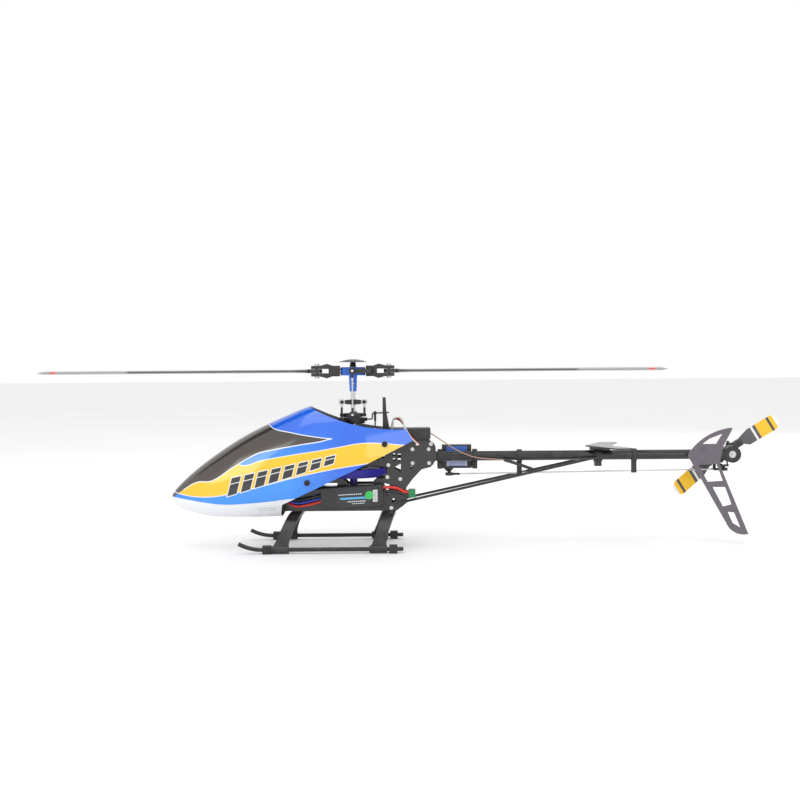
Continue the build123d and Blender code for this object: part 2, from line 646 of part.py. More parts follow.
with BuildPart() as tail_belt:
    reach = BELT_R + 0.45
    for way in (-1, 1):
        with BuildSketch(station(TAIL_DRIVE_X)):
            with Locations((way * reach, BOOM_Z)):
                Rectangle(0.8, 3.6)
        with BuildSketch(station(TAIL_X)):
            with Locations((0, BOOM_Z + way * reach)):
                Rectangle(3.6, 0.8)
        loft()
    with BuildSketch(level(BOOM_Z - 1.8)):
        with Locations((TAIL_DRIVE_X, 0)):
            Circle(reach + 0.4)
            Circle(reach - 0.4, mode=Mode.SUBTRACT)
        with Locations((TAIL_DRIVE_X - 6.0, 0)):
            Rectangle(12.0, 12.0, mode=Mode.SUBTRACT)
    extrude(amount=3.6)
    with BuildSketch(side(1.8)):
        with Locations((TAIL_X, BOOM_Z)):
            Circle(reach + 0.4)
            Circle(reach - 0.4, mode=Mode.SUBTRACT)
        with Locations((TAIL_X + 6.0, BOOM_Z)):
            Rectangle(12.0, 12.0, mode=Mode.SUBTRACT)
    extrude(amount=3.6)
save(tail_belt, "tail_belt")

STAY_BACK = (-272.0, 8.7, 98.2)
with BuildPart() as boom_supports:
    for way in (-1, 1):
        front, back = (-48.6, way * 16.4, 49.4), (STAY_BACK[0], way * STAY_BACK[1], STAY_BACK[2])
        add(link_rod(front, back, 1.5))
        with Locations(at(-50.0, way * 16.1, 48.6)):
            Box(9.0, 2.6, 6.0)
save(boom_supports, "boom_supports")

PUSHROD = ((-107.3, -1.0, 79.8), (-415.5, -1.0, 82.9))


def pushrod_z(x):
    """Height of the tail pushrod at a place along the boom."""
    (x0, _, z0), (x1, _, z1) = PUSHROD
    return z0 + (z1 - z0) * (x - x0) / (x1 - x0)


with BuildPart() as boom_brackets:
    add(drum(7.3, 9.0, (-274.0, 0, BOOM_Z), (1, 0, 0)))
    with Locations(at(-274.0, 0, 92.0)):
        Box(7.0, 9.8, 8.4)
    for x in (-186.0, -314.6):
        add(drum(7.1, 5.4, (x, 0, BOOM_Z), (1, 0, 0)))
        with Locations(at(x, -1.0, pushrod_z(x) + 6.2)):
            Box(5.4, 4.4, 16.4)
        add(drum(ROD_R + 0.4, 8.0, (x, -1.0, pushrod_z(x)), (1, 0, 0)), mode=Mode.SUBTRACT)
    add(drum(BOOM_R, 300.0, (-250.0, 0, BOOM_Z), (1, 0, 0)), mode=Mode.SUBTRACT)
save(boom_brackets, "boom_brackets")

with BuildPart() as horizontal_fin:
    with BuildSketch(level(109.4)):
        Polygon(
            (-260.0, 0), (-266.0, 12.0), (-283.0, 48.0), (-287.0, 51.0), (-304.0, 51.0), (-305.0, 47.0),
            (-290.0, 10.0), (-290.0, -10.0), (-305.0, -47.0), (-304.0, -51.0), (-287.0, -51.0),
            (-283.0, -48.0), (-266.0, -12.0), align=None,
        )
    extrude(amount=1.5)
    with Locations(at(-276.0, 0, 107.4)):
        Box(22.0, 7.0, 4.4)
    add(drum(7.32, 9.4, (-274.0, 0, BOOM_Z), (1, 0, 0)), mode=Mode.SUBTRACT)
    add(drum(BOOM_R, 60.0, (-276.0, 0, BOOM_Z), (1, 0, 0)), mode=Mode.SUBTRACT)
save(horizontal_fin, "horizontal_fin")

with BuildPart() as tail_servo:
    with Locations(at(-116.2, -14.0, 98.8)):
        Box(33.2, 13.0, 26.4)
    fillet(tail_servo.edges().filter_by(Axis.Z), 1.0)
    add(drum(5.2, 2.0, (-107.3, -14.0, 84.7)))
    add(drum(2.2, 0.5, (-107.3, -14.0, 83.5)))
save(tail_servo, "tail_servo")

with BuildPart() as tail_servo_mounts:
    for x in (-96.8, -136.0):
        add(drum(8.0, 5.2, (x, 0, BOOM_Z), (1, 0, 0)))
        with Locations(at(x, -8.0, 91.0)):
            Box(5.2, 23.0, 10.0)
        with Locations(at(x, -14.0, 95.0)):
            Box(5.2, 11.0, 18.0)
        add(drum(1.6, 5.2, (x, 4.4, 89.0), (0, 1, 0)))
    add(drum(BOOM_R, 60.0, (-116.0, 0, BOOM_Z), (1, 0, 0)), mode=Mode.SUBTRACT)
save(tail_servo_mounts, "tail_servo_mounts")

TAIL_HORN_R = 13.0
with BuildPart() as tail_servo_horn:
    with BuildSketch(level(81.8)):
        with Locations((-107.3, -14.0 + TAIL_HORN_R / 2)):
            SlotCenterToCenter(TAIL_HORN_R, 3.8, rotation=90)
        with Locations((-107.3, -14.0)):
            Circle(3.4)
    extrude(amount=1.4)
    add(ball(PUSHROD[0], (0, 0, 1), 2.2))
save(tail_servo_horn, "tail_servo_horn")

PUSHROD_GAP = 1.1
with BuildPart() as tail_pushrod:
    start, end = PUSHROD
    add(eye(start, (0, 0, 1), (-1, 0, 0), neck=8.0, reach=BALL_R + PUSHROD_GAP))
    add(eye(end, (0, 0, 1), (1, 0, 0), neck=8.0, reach=BALL_R + PUSHROD_GAP))
    add(link_rod((start[0] - 11.0, -1.0, pushrod_z(start[0] - 11.0)),
                 (end[0] + 11.0, -1.0, pushrod_z(end[0] + 11.0)), ROD_R))
save(tail_pushrod, "tail_pushrod")

# Tail case, its shaft and hub, and the lever that moves the pitch slider
CRANK = (PUSHROD[1][0], -14.0, 85.9)
CRANK_REACH = TAIL_X - CRANK[0]
with BuildPart() as tail_case:
    add(drum(7.3, 34.0, (-402.0, 0, BOOM_Z), (1, 0, 0)))
    add(drum(9.4, 15.8, (TAIL_X, -0.2, BOOM_Z), (0, 1, 0)))
    with Locations(at(-393.0, 3.4, BOOM_Z - 1.2)):
        Box(14.0, 8.6, 23.0)
    with Locations(at(-407.0, -7.75, 90.9)):
        Box(3.0, 2.5, 20.0)
    with Locations(at(-412.0, -11.75, 81.8)):
        Box(13.0, 10.5, 1.8)
    add(drum(1.2, 5.2, (CRANK[0], CRANK[1], 84.9)))
    add(drum(2.2, 0.7, (CRANK[0], CRANK[1], 87.5)))
    add(drum(6.4, 11.6, (TAIL_X, -0.6, BOOM_Z), (0, 1, 0)), mode=Mode.SUBTRACT)
    add(drum(4.02, 20.0, (TAIL_X, 0, BOOM_Z), (0, 1, 0)), mode=Mode.SUBTRACT)
    add(drum(BOOM_R, 30.0, (-396.0, 0, BOOM_Z), (1, 0, 0)), mode=Mode.SUBTRACT)
    with Locations(at(-416.0, 0, BOOM_Z)):
        Box(14.0, 5.4, 10.0, mode=Mode.SUBTRACT)
save(tail_case, "tail_case")

with BuildPart() as bellcrank:
    with BuildSketch(level(CRANK[2] - 1.1)):
        with Locations(CRANK[:2]):
            Circle(3.0)
        with Locations((CRANK[0], CRANK[1] + TAIL_HORN_R / 2)):
            SlotCenterToCenter(TAIL_HORN_R, 3.6, rotation=90)
        with Locations((CRANK[0] + CRANK_REACH / 2, CRANK[1])):
            SlotCenterToCenter(abs(CRANK_REACH), 3.6)
        with Locations(CRANK[:2]):
            Circle(1.2 + RUN_FIT, mode=Mode.SUBTRACT)
    extrude(amount=2.2)
    add(drum(0.9, 10.2, (TAIL_X, CRANK[1], 91.0)))
    add(ball(PUSHROD[1], (0, 0, 1), 2.4))
save(bellcrank, "bellcrank")

BLADE_WAY = (-cos(radians(31)), 0, sin(radians(31)))
ARM_WAY = (sin(radians(31)), 0, cos(radians(31)))
FEATHER_ARM = 6.0
LINK_R = 9.8
LINK_GAP = 0.7


def tail_spot(reach, offset=0.0, y=TAIL_ROTOR_Y, end=1):
    """A point on the tail rotor: out along a blade, and across it."""
    return (
        TAIL_X + end * (reach * BLADE_WAY[0] + offset * ARM_WAY[0]), y,
        BOOM_Z + end * (reach * BLADE_WAY[2] + offset * ARM_WAY[2]),
    )


def tail_plane(reach, end=1):
    """Plane across a tail blade: local x runs along the tail shaft."""
    way = tuple(end * part for part in BLADE_WAY)
    return Plane(at(*tail_spot(reach, end=end)), x_dir=(0, 1, 0), z_dir=way)


with BuildPart() as tail_shaft:
    add(drum(1.5, 39.0, (TAIL_X, -10.9, BOOM_Z), (0, 1, 0)))
    add(drum(BELT_R, 7.4, (TAIL_X, 0, BOOM_Z), (0, 1, 0)))
    for y in (-3.0, 3.0):
        add(drum(5.2, 1.0, (TAIL_X, y, BOOM_Z), (0, 1, 0)))
    add(drum(4.2, 8.0, (TAIL_X, TAIL_ROTOR_Y, BOOM_Z), (0, 1, 0)))
    add(drum(3.4, 10.8, (TAIL_X, TAIL_ROTOR_Y, BOOM_Z), BLADE_WAY))
    add(drum(1.4, 27.0, (TAIL_X, TAIL_ROTOR_Y, BOOM_Z), BLADE_WAY))
    for end in (-1, 1):
        add(drum(2.2, 1.2, tail_spot(13.2, end=end), BLADE_WAY))
save(tail_shaft, "tail_shaft")

SLIDER_Y = CRANK[1]
with BuildPart() as pitch_slider:
    for y in (SLIDER_Y - 2.1, SLIDER_Y + 2.1):
        add(drum(5.4, 1.4, (TAIL_X, y, BOOM_Z), (0, 1, 0)))
    add(drum(3.4, 6.4, (TAIL_X, SLIDER_Y, BOOM_Z), (0, 1, 0)))
    for end in (-1, 1):
        foot = tail_spot(LINK_R, FEATHER_ARM, SLIDER_Y - 2.9, end)
        add(link_rod(tail_spot(2.5, 2.0, SLIDER_Y - 2.9, end), foot, 1.3))
        add(link_rod((foot[0], SLIDER_Y - 2.0, foot[2]), (foot[0], TAIL_ROTOR_Y + 4.6, foot[2]), 1.0))
        add(eye(tail_spot(LINK_R, FEATHER_ARM, end=end), BLADE_WAY, (0, 1, 0), neck=2.4,
                reach=1.5 + LINK_GAP, wide=2.4))
    add(drum(1.5 + RUN_FIT, 20.0, (TAIL_X, SLIDER_Y, BOOM_Z), (0, 1, 0)), mode=Mode.SUBTRACT)
save(pitch_slider, "pitch_slider")

for name, end in (("tail_grip_upper", 1), ("tail_grip_lower", -1)):
    with BuildPart() as tail_grip:
        with BuildSketch(tail_plane(11.6, end)):
            Rectangle(7.2, 8.4)
        extrude(amount=11.6)
        fillet(tail_grip.edges().filter_by(lambda e: e.length > 11.0), 1.4)
        add(drum(2.9, 8.0, tail_spot(10.0, end=end), BLADE_WAY))
        with BuildSketch(tail_plane(14.4, end)):
            Rectangle(2.3, 12.0)
        extrude(amount=14.0, mode=Mode.SUBTRACT)
        add(drum(1.4 + RUN_FIT, 12.0, tail_spot(10.0, end=end), BLADE_WAY), mode=Mode.SUBTRACT)
        add(drum(2.5, 3.0, tail_spot(13.5, end=end), BLADE_WAY), mode=Mode.SUBTRACT)
    with BuildPart() as whole:
        add(tail_grip.part)
        add(link_rod(tail_spot(7.15, 2.3, end=end), tail_spot(7.15, FEATHER_ARM + 0.95, end=end), 1.1))
        add(drum(0.85, 3.3, tail_spot(8.7, FEATHER_ARM, end=end), BLADE_WAY))
        with Locations(at(*tail_spot(LINK_R, FEATHER_ARM, end=end))):
            Sphere(1.5)
        add(drum(1.0, 9.0, tail_spot(TAIL_BOLT_R, end=end), (0, 1, 0)))
        for way in (-1, 1):
            add(drum(1.9, 1.2, tail_spot(TAIL_BOLT_R, y=TAIL_ROTOR_Y + way * 4.2, end=end), (0, 1, 0)))
    save(whole, name)

# Tail blades; the lower one has lagged a little on its bolt
for name, end, lag in (("tail_blade_upper", 1, 0.0), ("tail_blade_lower", -1, 10.5)):
    with BuildPart() as tail_blade:
        with BuildSketch(Plane(at(TAIL_X, TAIL_ROTOR_Y + 0.9, BOOM_Z), x_dir=BLADE_WAY, z_dir=(0, -1, 0))):
            with Locations((TAIL_BOLT_R, 0)):
                Circle(3.6)
            with BuildLine():
                Polyline((TAIL_BOLT_R, 3.4), (24.0, 3.6), (30.0, 8.4), (64.0, 8.8))
                ThreePointArc((64.0, 8.8), (TAIL_ROTOR_R, 1.0), (67.0, -8.2))
                Polyline((67.0, -8.2), (36.0, -8.4), (25.0, -5.4), (TAIL_BOLT_R, -3.4), (TAIL_BOLT_R, 3.4))
            make_face()
            with Locations((TAIL_BOLT_R, 0)):
                Circle(1.0 + RUN_FIT, mode=Mode.SUBTRACT)
        extrude(amount=1.8)
    spin = Axis(at(TAIL_X, 0, BOOM_Z), (0, 1, 0))
    tail_blade.part = tail_blade.part.rotate(spin, 0 if end > 0 else 180)
    lag_axis = Axis(at(*tail_spot(TAIL_BOLT_R, end=end)), (0, 1, 0))
    tail_blade.part = tail_blade.part.rotate(lag_axis, lag)
    save(tail_blade, name)

with BuildPart() as vertical_fin:
    with BuildSketch(side(FIN_Y + FIN_T)):
        with BuildLine():
            ThreePointArc((-423.2, 130.2), (-394.6, 121.2), (-372.2, 99.8))
            Polyline((-372.2, 99.8), (-414.7, 24.0))
            ThreePointArc((-414.7, 24.0), (-424.6, 13.2), (-439.3, 11.6))
            Polyline((-439.3, 11.6), (-407.7, 89.8), (-412.1, 109.4), (-423.2, 130.2))
        make_face()
        for points in (
            ((-389.0, 112.2), (-397.0, 118.0), (-411.5, 123.5), (-404.1, 112.2)),
            ((-384.2, 89.0), (-404.6, 89.6), (-411.4, 71.0), (-394.4, 70.0)),
            ((-399.9, 64.0), (-413.9, 64.0), (-420.9, 44.6), (-411.2, 42.3)),
            ((-416.4, 36.4), (-423.6, 35.6), (-430.6, 18.7), (-421.8, 24.0)),
        ):
            Polygon(*points, align=None, mode=Mode.SUBTRACT)
    extrude(amount=FIN_T)
    fillet(vertical_fin.edges().filter_by(Axis.Y).group_by(Axis.Z)[-1], 1.2)
    for z in (106.9, 90.8):
        add(drum(1.9, 1.1, (-390.5, FIN_Y + FIN_T + 0.55, z), (0, 1, 0)))
    with Locations(at(-391.6, FIN_Y - 0.75, BOOM_Z - 1.2)):
        Box(11.0, 1.5, 20.0)
save(vertical_fin, "vertical_fin")

# Landing gear
with BuildPart() as landing_struts:
    for top_x, foot_x in ((62.0, 77.7), (-40.5, -28.0)):
        lean = foot_x - top_x
        with Locations(at(top_x, 0, PLATE_BOTTOM - STRUT_T / 2)):
            Box(STRUT_W, 31.2, STRUT_T)
        for way in (-1, 1):
            sections = (
                (0.0, 15.5, PLATE_BOTTOM - STRUT_T / 2, 0, STRUT_W), (0.16, 26.0, 36.8, 24, STRUT_W),
                (0.45, 37.6, 28.0, 50, STRUT_W), (0.8, 46.2, 14.6, 67, STRUT_W + 1.0),
                (1.0, 49.8, SKID_Z, 74, STRUT_W + 6.0),
            )
            for share, y, z, slope, width in sections:
                face = (0, way * cos(radians(slope)), -sin(radians(slope)))
                with BuildSketch(Plane(at(top_x + lean * share, way * y, z), x_dir=(1, 0, 0), z_dir=face)):
                    Rectangle(width, STRUT_T)
            loft()
            add(drum(4.1, STRUT_W + 6.0, (foot_x, way * SKID_Y, SKID_Z), (1, 0, 0)))
            add(drum(SKID_R, 40.0, (foot_x, way * SKID_Y, SKID_Z), (1, 0, 0)), mode=Mode.SUBTRACT)
save(landing_struts, "landing_struts")

with BuildPart() as skid_rails:
    for y in (-SKID_Y, SKID_Y):
        with BuildLine() as rail:
            Line(at(-55.1, y, SKID_Z), at(97.0, y, SKID_Z))
            TangentArc(at(97.0, y, SKID_Z), at(122.6, y, 11.0), tangent=(1, 0, 0))
        with BuildSketch(Plane(at(-55.1, y, SKID_Z), z_dir=(1, 0, 0))):
            Circle(SKID_R)
        sweep(path=rail.wires()[0])
save(skid_rails, "skid_rails")

with BuildPart() as skid_caps:
    for y in (-SKID_Y, SKID_Y):
        for x in (92.0, -44.3):
            with BuildSketch(station(x - 4.4, SKID_Z)):
                with Locations((y, 0)):
                    RectangleRounded(9.0, 2 * SKID_Z, 2.0)
                    Circle(SKID_R, mode=Mode.SUBTRACT)
            extrude(amount=8.8)
save(skid_caps, "skid_caps")

# Canopy: a thin shell lofted along the body, cut by its side profile
STATIONS = (
    (-70.0, 60.0, 156.0, 24.5), (-40.0, 54.0, 158.0, 32.5), (-10.0, 48.0, 160.0, 39.6),
    (8.0, 44.4, 160.0, 40.2), (25.0, 41.0, 160.0, 40.0), (48.8, 38.0, 157.2, 39.4),
    (76.0, 35.6, 146.6, 38.6), (103.0, 34.6, 134.4, 36.8),
    (130.0, 34.2, 119.8, 33.0), (157.0, 35.2, 101.8, 26.2), (175.0, 38.6, 88.2, 20.0),
    (190.0, 43.0, 75.0, 13.0), (199.0, 47.6, 65.6, 7.4), (203.0, 52.4, 60.0, 3.6),
)
SECTION = ((0.56, 0.03), (0.9, 0.16), (1.0, 0.37), (0.94, 0.6), (0.74, 0.8), (0.42, 0.945))
CANOPY_WALL = 1.3


def canopy_body(wall, back):
    """The closed canopy form, a wall's thickness inside the outer surface, longer at the back."""
    with BuildPart(mode=Mode.PRIVATE) as form:
        for x, low, high, half in STATIONS:
            low, high, half = low + wall, high - wall, half - wall
            height = high - low
            right = [(half * w, low + height * h) for w, h in SECTION]
            left = [(-y, z) for y, z in reversed(right)]
            with BuildSketch(station(x - wall * (x > 190) - back * (x < -60))):
                with BuildLine():
                    Spline((0, low), *right, (0, high), *left, periodic=True)
                make_face()
        loft(ruled=True)
    return form.part


with BuildPart() as canopy:
    add(canopy_body(0.0, 0.0))
    with BuildSketch(side(60.0)):
        with BuildLine():
            ThreePointArc((-58.9, 131.7), (6.0, 139.4), (48.8, 157.2))
            Polyline((48.8, 157.2), (48.8, 175.0), (215.0, 175.0), (215.0, 20.0), (79.0, 20.0), (79.0, 40.0),
                     (76.9, 50.7), (-53.6, 112.7), (-66.2, 119.0), (-58.9, 131.7))
        make_face()
    extrude(amount=120.0, mode=Mode.INTERSECT)
    add(canopy_body(CANOPY_WALL, 4.0), mode=Mode.SUBTRACT)
    for x, z, _ in CANOPY_POSTS:
        add(drum(3.3, 120.0, (x, 0, z), (0, 1, 0)), mode=Mode.SUBTRACT)
save(canopy, "canopy")

with BuildPart() as canopy_grommets:
    for x, z, reach in CANOPY_POSTS:
        for way in (-1, 1):
            add(drum(3.25, 3.4, (x, way * (reach + 0.6), z), (0, 1, 0), bore=1.5))
save(canopy_grommets, "canopy_grommets")
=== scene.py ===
from math import atan2, cos, hypot, pi, radians, sin

import bmesh
import bpy
from mathutils import Matrix, Vector


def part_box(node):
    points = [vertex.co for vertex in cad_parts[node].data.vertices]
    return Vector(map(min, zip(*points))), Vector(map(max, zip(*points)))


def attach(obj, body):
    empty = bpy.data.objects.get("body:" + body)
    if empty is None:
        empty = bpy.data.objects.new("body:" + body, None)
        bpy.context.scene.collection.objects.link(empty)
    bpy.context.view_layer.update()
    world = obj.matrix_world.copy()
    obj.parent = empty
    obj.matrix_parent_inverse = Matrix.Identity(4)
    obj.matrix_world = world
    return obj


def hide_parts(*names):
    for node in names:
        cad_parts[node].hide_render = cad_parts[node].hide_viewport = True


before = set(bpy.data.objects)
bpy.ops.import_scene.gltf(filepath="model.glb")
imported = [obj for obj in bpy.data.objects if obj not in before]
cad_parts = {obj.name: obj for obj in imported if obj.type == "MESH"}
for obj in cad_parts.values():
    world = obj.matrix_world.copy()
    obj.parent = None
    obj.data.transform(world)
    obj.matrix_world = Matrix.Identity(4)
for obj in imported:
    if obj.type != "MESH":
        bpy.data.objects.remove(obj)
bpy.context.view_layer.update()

# %% [markdown]
# # A remote control helicopter
# The imported model holds the mechanics: plates, shafts, gears, rotors and rails at their true size.
# This file gives them their looks. Most parts keep their shape and get a finish. The canopy, the
# wires and the canopy grommets are modelled here, because they need smooth or fine shapes.
# Places along the body are given in millimetres from the foot of the mast, as a builder would
# measure them, and spot() turns them into metres in the model's frame.

# %% Where things are
SHAFT_LOW, SHAFT_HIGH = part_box("main_shaft")
MAST_X = (SHAFT_LOW[0] + SHAFT_HIGH[0]) / 2 * 1000
ROTOR_Z = 196.3
BOOM_Z = 100.0
TAIL_X = -423.5


def spot(x, y, z):
    """A place given in millimetres from the foot of the mast."""
    return Vector((MAST_X + x, y, z)) / 1000


# %% [markdown]
# ## Shader maths
# A finish is a small network of nodes. Written out node by node it is long and hard to read, so a
# Signal wraps one socket and turns Python sums into Math nodes. A Finish owns one material, knows
# where a point is (x, y and z in millimetres from the mast) and makes any other node in one call.

# %% Signals and finishes


class Signal:
    """One output socket, with arithmetic."""

    def __init__(self, finish, socket):
        self.finish = finish
        self.socket = socket

    def do(self, operation, *values):
        return self.finish.node("ShaderNodeMath", {"operation": operation}, *values)

    def __add__(self, other):
        return self.do("ADD", self, other)

    def __sub__(self, other):
        return self.do("SUBTRACT", self, other)

    def __rsub__(self, other):
        return self.do("SUBTRACT", other, self)

    def __mul__(self, other):
        return self.do("MULTIPLY", self, other)

    def __truediv__(self, other):
        return self.do("DIVIDE", self, other)

    __radd__ = __add__
    __rmul__ = __mul__

    def size(self):
        return self.do("ABSOLUTE", self)

    def least(self, other):
        return self.do("MINIMUM", self, other)

    def most(self, other):
        return self.do("MAXIMUM", self, other)

    def rest(self, step):
        """What is left over after whole steps."""
        return self.do("FLOORED_MODULO", self, step)

    def over(self, edge, soft=0.12):
        """0 below an edge and 1 above it, with a soft step as wide as a line of paint is blurred."""
        return ((self - edge) / soft + 0.5).most(0.0).least(1.0)

    def under(self, edge, soft=0.12):
        return 1 - self.over(edge, soft)

    def between(self, low, high, soft=0.12):
        return self.over(low, soft) * self.under(high, soft)


class Finish:
    """One material, with its own place signals in millimetres from the mast."""

    def __init__(self, name, roughness=0.5, metallic=0.0, coat=0.0):
        self.material = bpy.data.materials.new(name)
        self.material.use_nodes = True
        self.tree = self.material.node_tree
        self.shader = self.tree.nodes["Principled BSDF"]
        self.shader.inputs["Roughness"].default_value = roughness
        self.shader.inputs["Metallic"].default_value = metallic
        self.shader.inputs["Coat Weight"].default_value = coat
        self.shader.inputs["Coat Roughness"].default_value = 0.06
        self.spot = self.node("ShaderNodeTexCoord", {}, out="Object")
        self.x = self.node("ShaderNodeSeparateXYZ", {}, self.spot, out="X") * 1000 - MAST_X
        self.y = self.node("ShaderNodeSeparateXYZ", {}, self.spot, out="Y") * 1000
        self.z = self.node("ShaderNodeSeparateXYZ", {}, self.spot, out="Z") * 1000

    def node(self, kind, settings, *values, out=0, **named):
        made = self.tree.nodes.new(kind)
        for key, value in settings.items():
            setattr(made, key, value)
        for key, value in [*enumerate(values), *named.items()]:
            self.feed(made.inputs[key], value)
        return Signal(self, made.outputs[out])

    def feed(self, socket, value):
        if isinstance(value, Signal):
            self.tree.links.new(value.socket, socket)
        elif value is not None:
            socket.default_value = value

    def mix(self, share, a, b):
        """Colour a where share is 0, and b where it is 1."""
        a, b = [(*c, 1.0) if isinstance(c, tuple) else c for c in (a, b)]
        settings = {"data_type": "RGBA"}
        made = self.tree.nodes.new("ShaderNodeMix")
        made.data_type = settings["data_type"]
        for index, value in ((0, share), (6, a), (7, b)):
            self.feed(made.inputs[index], value)
        return Signal(self, made.outputs[2])

    def noise(self, scale, detail=3.0, stretch=(1.0, 1.0, 1.0)):
        """Even noise around a half; scale counts its lumps in a metre."""
        place = self.node("ShaderNodeVectorMath", {"operation": "MULTIPLY"}, self.spot, stretch)
        return self.node("ShaderNodeTexNoise", {}, Vector=place, Scale=scale, Detail=detail)

    def curve(self, value, points, across, tall):
        """A line drawn through listed points: its height, for a value between two ends."""
        low, high = across
        made = self.tree.nodes.new("ShaderNodeFloatCurve")
        line = made.mapping.curves[0]
        marks = sorted(((p - low) / (high - low), h / tall) for p, h in points)
        line.points[0].location = marks[0]
        line.points[1].location = marks[-1]
        for mark in marks[1:-1]:
            line.points.new(*mark)
        made.mapping.update()
        self.feed(made.inputs["Value"], (value - low) / (high - low))
        return Signal(self, made.outputs[0]) * tall

    def wear(self, colour, roughness, spread=0.12, grain=0.05, scale=900.0, bump=0.06):
        """Sets a base colour with handling marks, uneven gloss and a fine grain."""
        marks = self.noise(60.0, 4.0)
        fine = self.noise(scale, 2.0)
        tone = self.mix((marks - 0.5).size() * 1.6 * spread * 4, colour, (0.32, 0.31, 0.3))
        self.feed(self.shader.inputs["Base Color"], tone)
        self.feed(self.shader.inputs["Roughness"], roughness + (marks - 0.5) * 0.3 + (fine - 0.5) * grain)
        self.grain(fine, bump)
        return self.material

    def grain(self, height, strength, distance=0.0002):
        normal = self.node("ShaderNodeBump", {}, Strength=strength, Distance=distance, Height=height)
        self.feed(self.shader.inputs["Normal"], normal)


def dress(material, *nodes):
    """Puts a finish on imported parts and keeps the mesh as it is."""
    for name in nodes:
        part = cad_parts[name]
        part.data.materials.clear()
        part.data.materials.append(material)
    print(material.name, "on", ", ".join(nodes))


# %% [markdown]
# ## Camera, light and floor
# The camera looks level at the port side from a little over a metre, with a normal lens. A small
# vertical shift keeps the mast and struts upright, as a careful product photographer would. Big
# soft lamps over a pale floor give long clean highlights on the painted shell.

# %% The camera
camera = bpy.data.objects.new("camera", bpy.data.cameras.new("camera"))
bpy.context.scene.collection.objects.link(camera)
camera.data.lens = 49.14
camera.data.shift_x = -0.0025
camera.data.shift_y = -0.0425
camera.data.clip_start = 0.01
camera.location = spot(-55.1, 1226.0, 201.4)
camera.rotation_euler = (radians(90), radians(0.43), radians(180))
bpy.context.scene.camera = camera

# %% Lamps and the floor


def lamp(name, place, aim, size, power):
    """A soft square lamp that points at a place on the helicopter."""
    data = bpy.data.lights.new(name, "AREA")
    data.size = size
    data.energy = power
    made = bpy.data.objects.new(name, data)
    made.location = place
    made.rotation_euler = (aim - place).to_track_quat("-Z", "Y").to_euler()
    bpy.context.scene.collection.objects.link(made)


MIDDLE = spot(0, 0, 90)
lamp("top_lamp", Vector((0.1, 0.3, 1.7)), MIDDLE, 1.4, 7.0)
lamp("front_lamp", Vector((1.3, 1.5, 0.9)), MIDDLE, 0.9, 6.0)
lamp("back_lamp", Vector((-1.2, -1.3, 1.0)), MIDDLE, 1.0, 5.0)
lamp("side_lamp", Vector((-0.9, 1.6, 0.7)), MIDDLE, 0.9, 3.0)

world = bpy.data.worlds.new("studio")
world.use_nodes = True
world.node_tree.nodes["Background"].inputs["Color"].default_value = (1.0, 1.0, 1.0, 1.0)
world.node_tree.nodes["Background"].inputs["Strength"].default_value = 1.0
bpy.context.scene.world = world
bpy.context.scene.view_settings.view_transform = "Standard"

floor_mesh = bpy.data.meshes.new("floor")
shape = bmesh.new()
bmesh.ops.create_grid(shape, x_segments=1, y_segments=1, size=14.0)
shape.to_mesh(floor_mesh)
shape.free()
floor = bpy.data.objects.new("floor", floor_mesh)
bpy.context.scene.collection.objects.link(floor)
paper = Finish("floor_paper", roughness=0.9)
paper.feed(paper.shader.inputs["Base Color"], paper.mix(paper.noise(3.0), (0.84, 0.84, 0.84), (0.9, 0.9, 0.9)))
floor.data.materials.append(paper.material)
print("camera, lamps and floor")

# %% [markdown]
# ## The plain finishes
# Moulded nylon, carbon plate, rubber, anodised and bare metal cover most of the machine. Each one
# has a base colour, handling marks, uneven gloss and a grain at its own scale, because a single flat
# value looks like a computer model and never like a part that somebody has bolted on.

# %% Nylon, rubber and steel
nylon = Finish("black_nylon").wear((0.016, 0.016, 0.018), 0.46, 0.05, 0.16, 1600.0, 0.12)
grip_nylon = Finish("glass_filled_nylon").wear((0.02, 0.02, 0.022), 0.38, 0.06, 0.2, 2200.0, 0.15)
rubber = Finish("soft_rubber").wear((0.014, 0.014, 0.014), 0.62, 0.04, 0.1, 2600.0, 0.2)
steel = Finish("bright_steel", metallic=1.0).wear((0.6, 0.6, 0.59), 0.22, 0.06, 0.1, 500.0, 0.03)
dark_metal = Finish("black_anodised", metallic=0.6).wear((0.02, 0.02, 0.024), 0.3, 0.06, 0.1, 900.0, 0.04)
motor_metal = Finish("motor_can", metallic=0.9).wear((0.16, 0.17, 0.2), 0.3, 0.08, 0.1, 700.0, 0.03)
violet_gear = Finish("violet_acetal").wear((0.03, 0.02, 0.33), 0.36, 0.03, 0.1, 1300.0, 0.05)
white_gear = Finish("white_acetal").wear((0.6, 0.6, 0.58), 0.42, 0.05, 0.1, 1300.0, 0.05)

dress(nylon, "frame_blocks", "guide_post", "battery_tray", "boom_brackets", "tail_servo_mounts", "tail_case",
      "bellcrank", "pitch_slider", "servo_horn_left", "servo_horn_right", "servo_horn_rear", "tail_servo_horn",
      "receiver")
dress(grip_nylon, "tail_grip_upper", "tail_grip_lower", "drive_arm_front", "drive_arm_rear", "drive_collar")
dress(rubber, "skid_caps", "canopy_grommets", "tail_belt")
dress(steel, "main_shaft", "feathering_spindle", "ball_bearings", "frame_fasteners", "tail_shaft")
dress(dark_metal, "head_button", "swash_lower")
dress(motor_metal, "motor_bell")
dress(violet_gear, "main_gear", "tail_drive_gear")
dress(white_gear, "tail_drive_pulley")

# %% [markdown]
# ## Finishes with a pattern
# The side plates are woven carbon, so two crossed sets of fine ribs tilt the gloss. The tail boom
# and rails are black tube, smoother and shinier. Parts that mix metal and plastic in one piece,
# such as a link's rod and its two ends, choose between two looks by where a point is.

# %% Woven plate


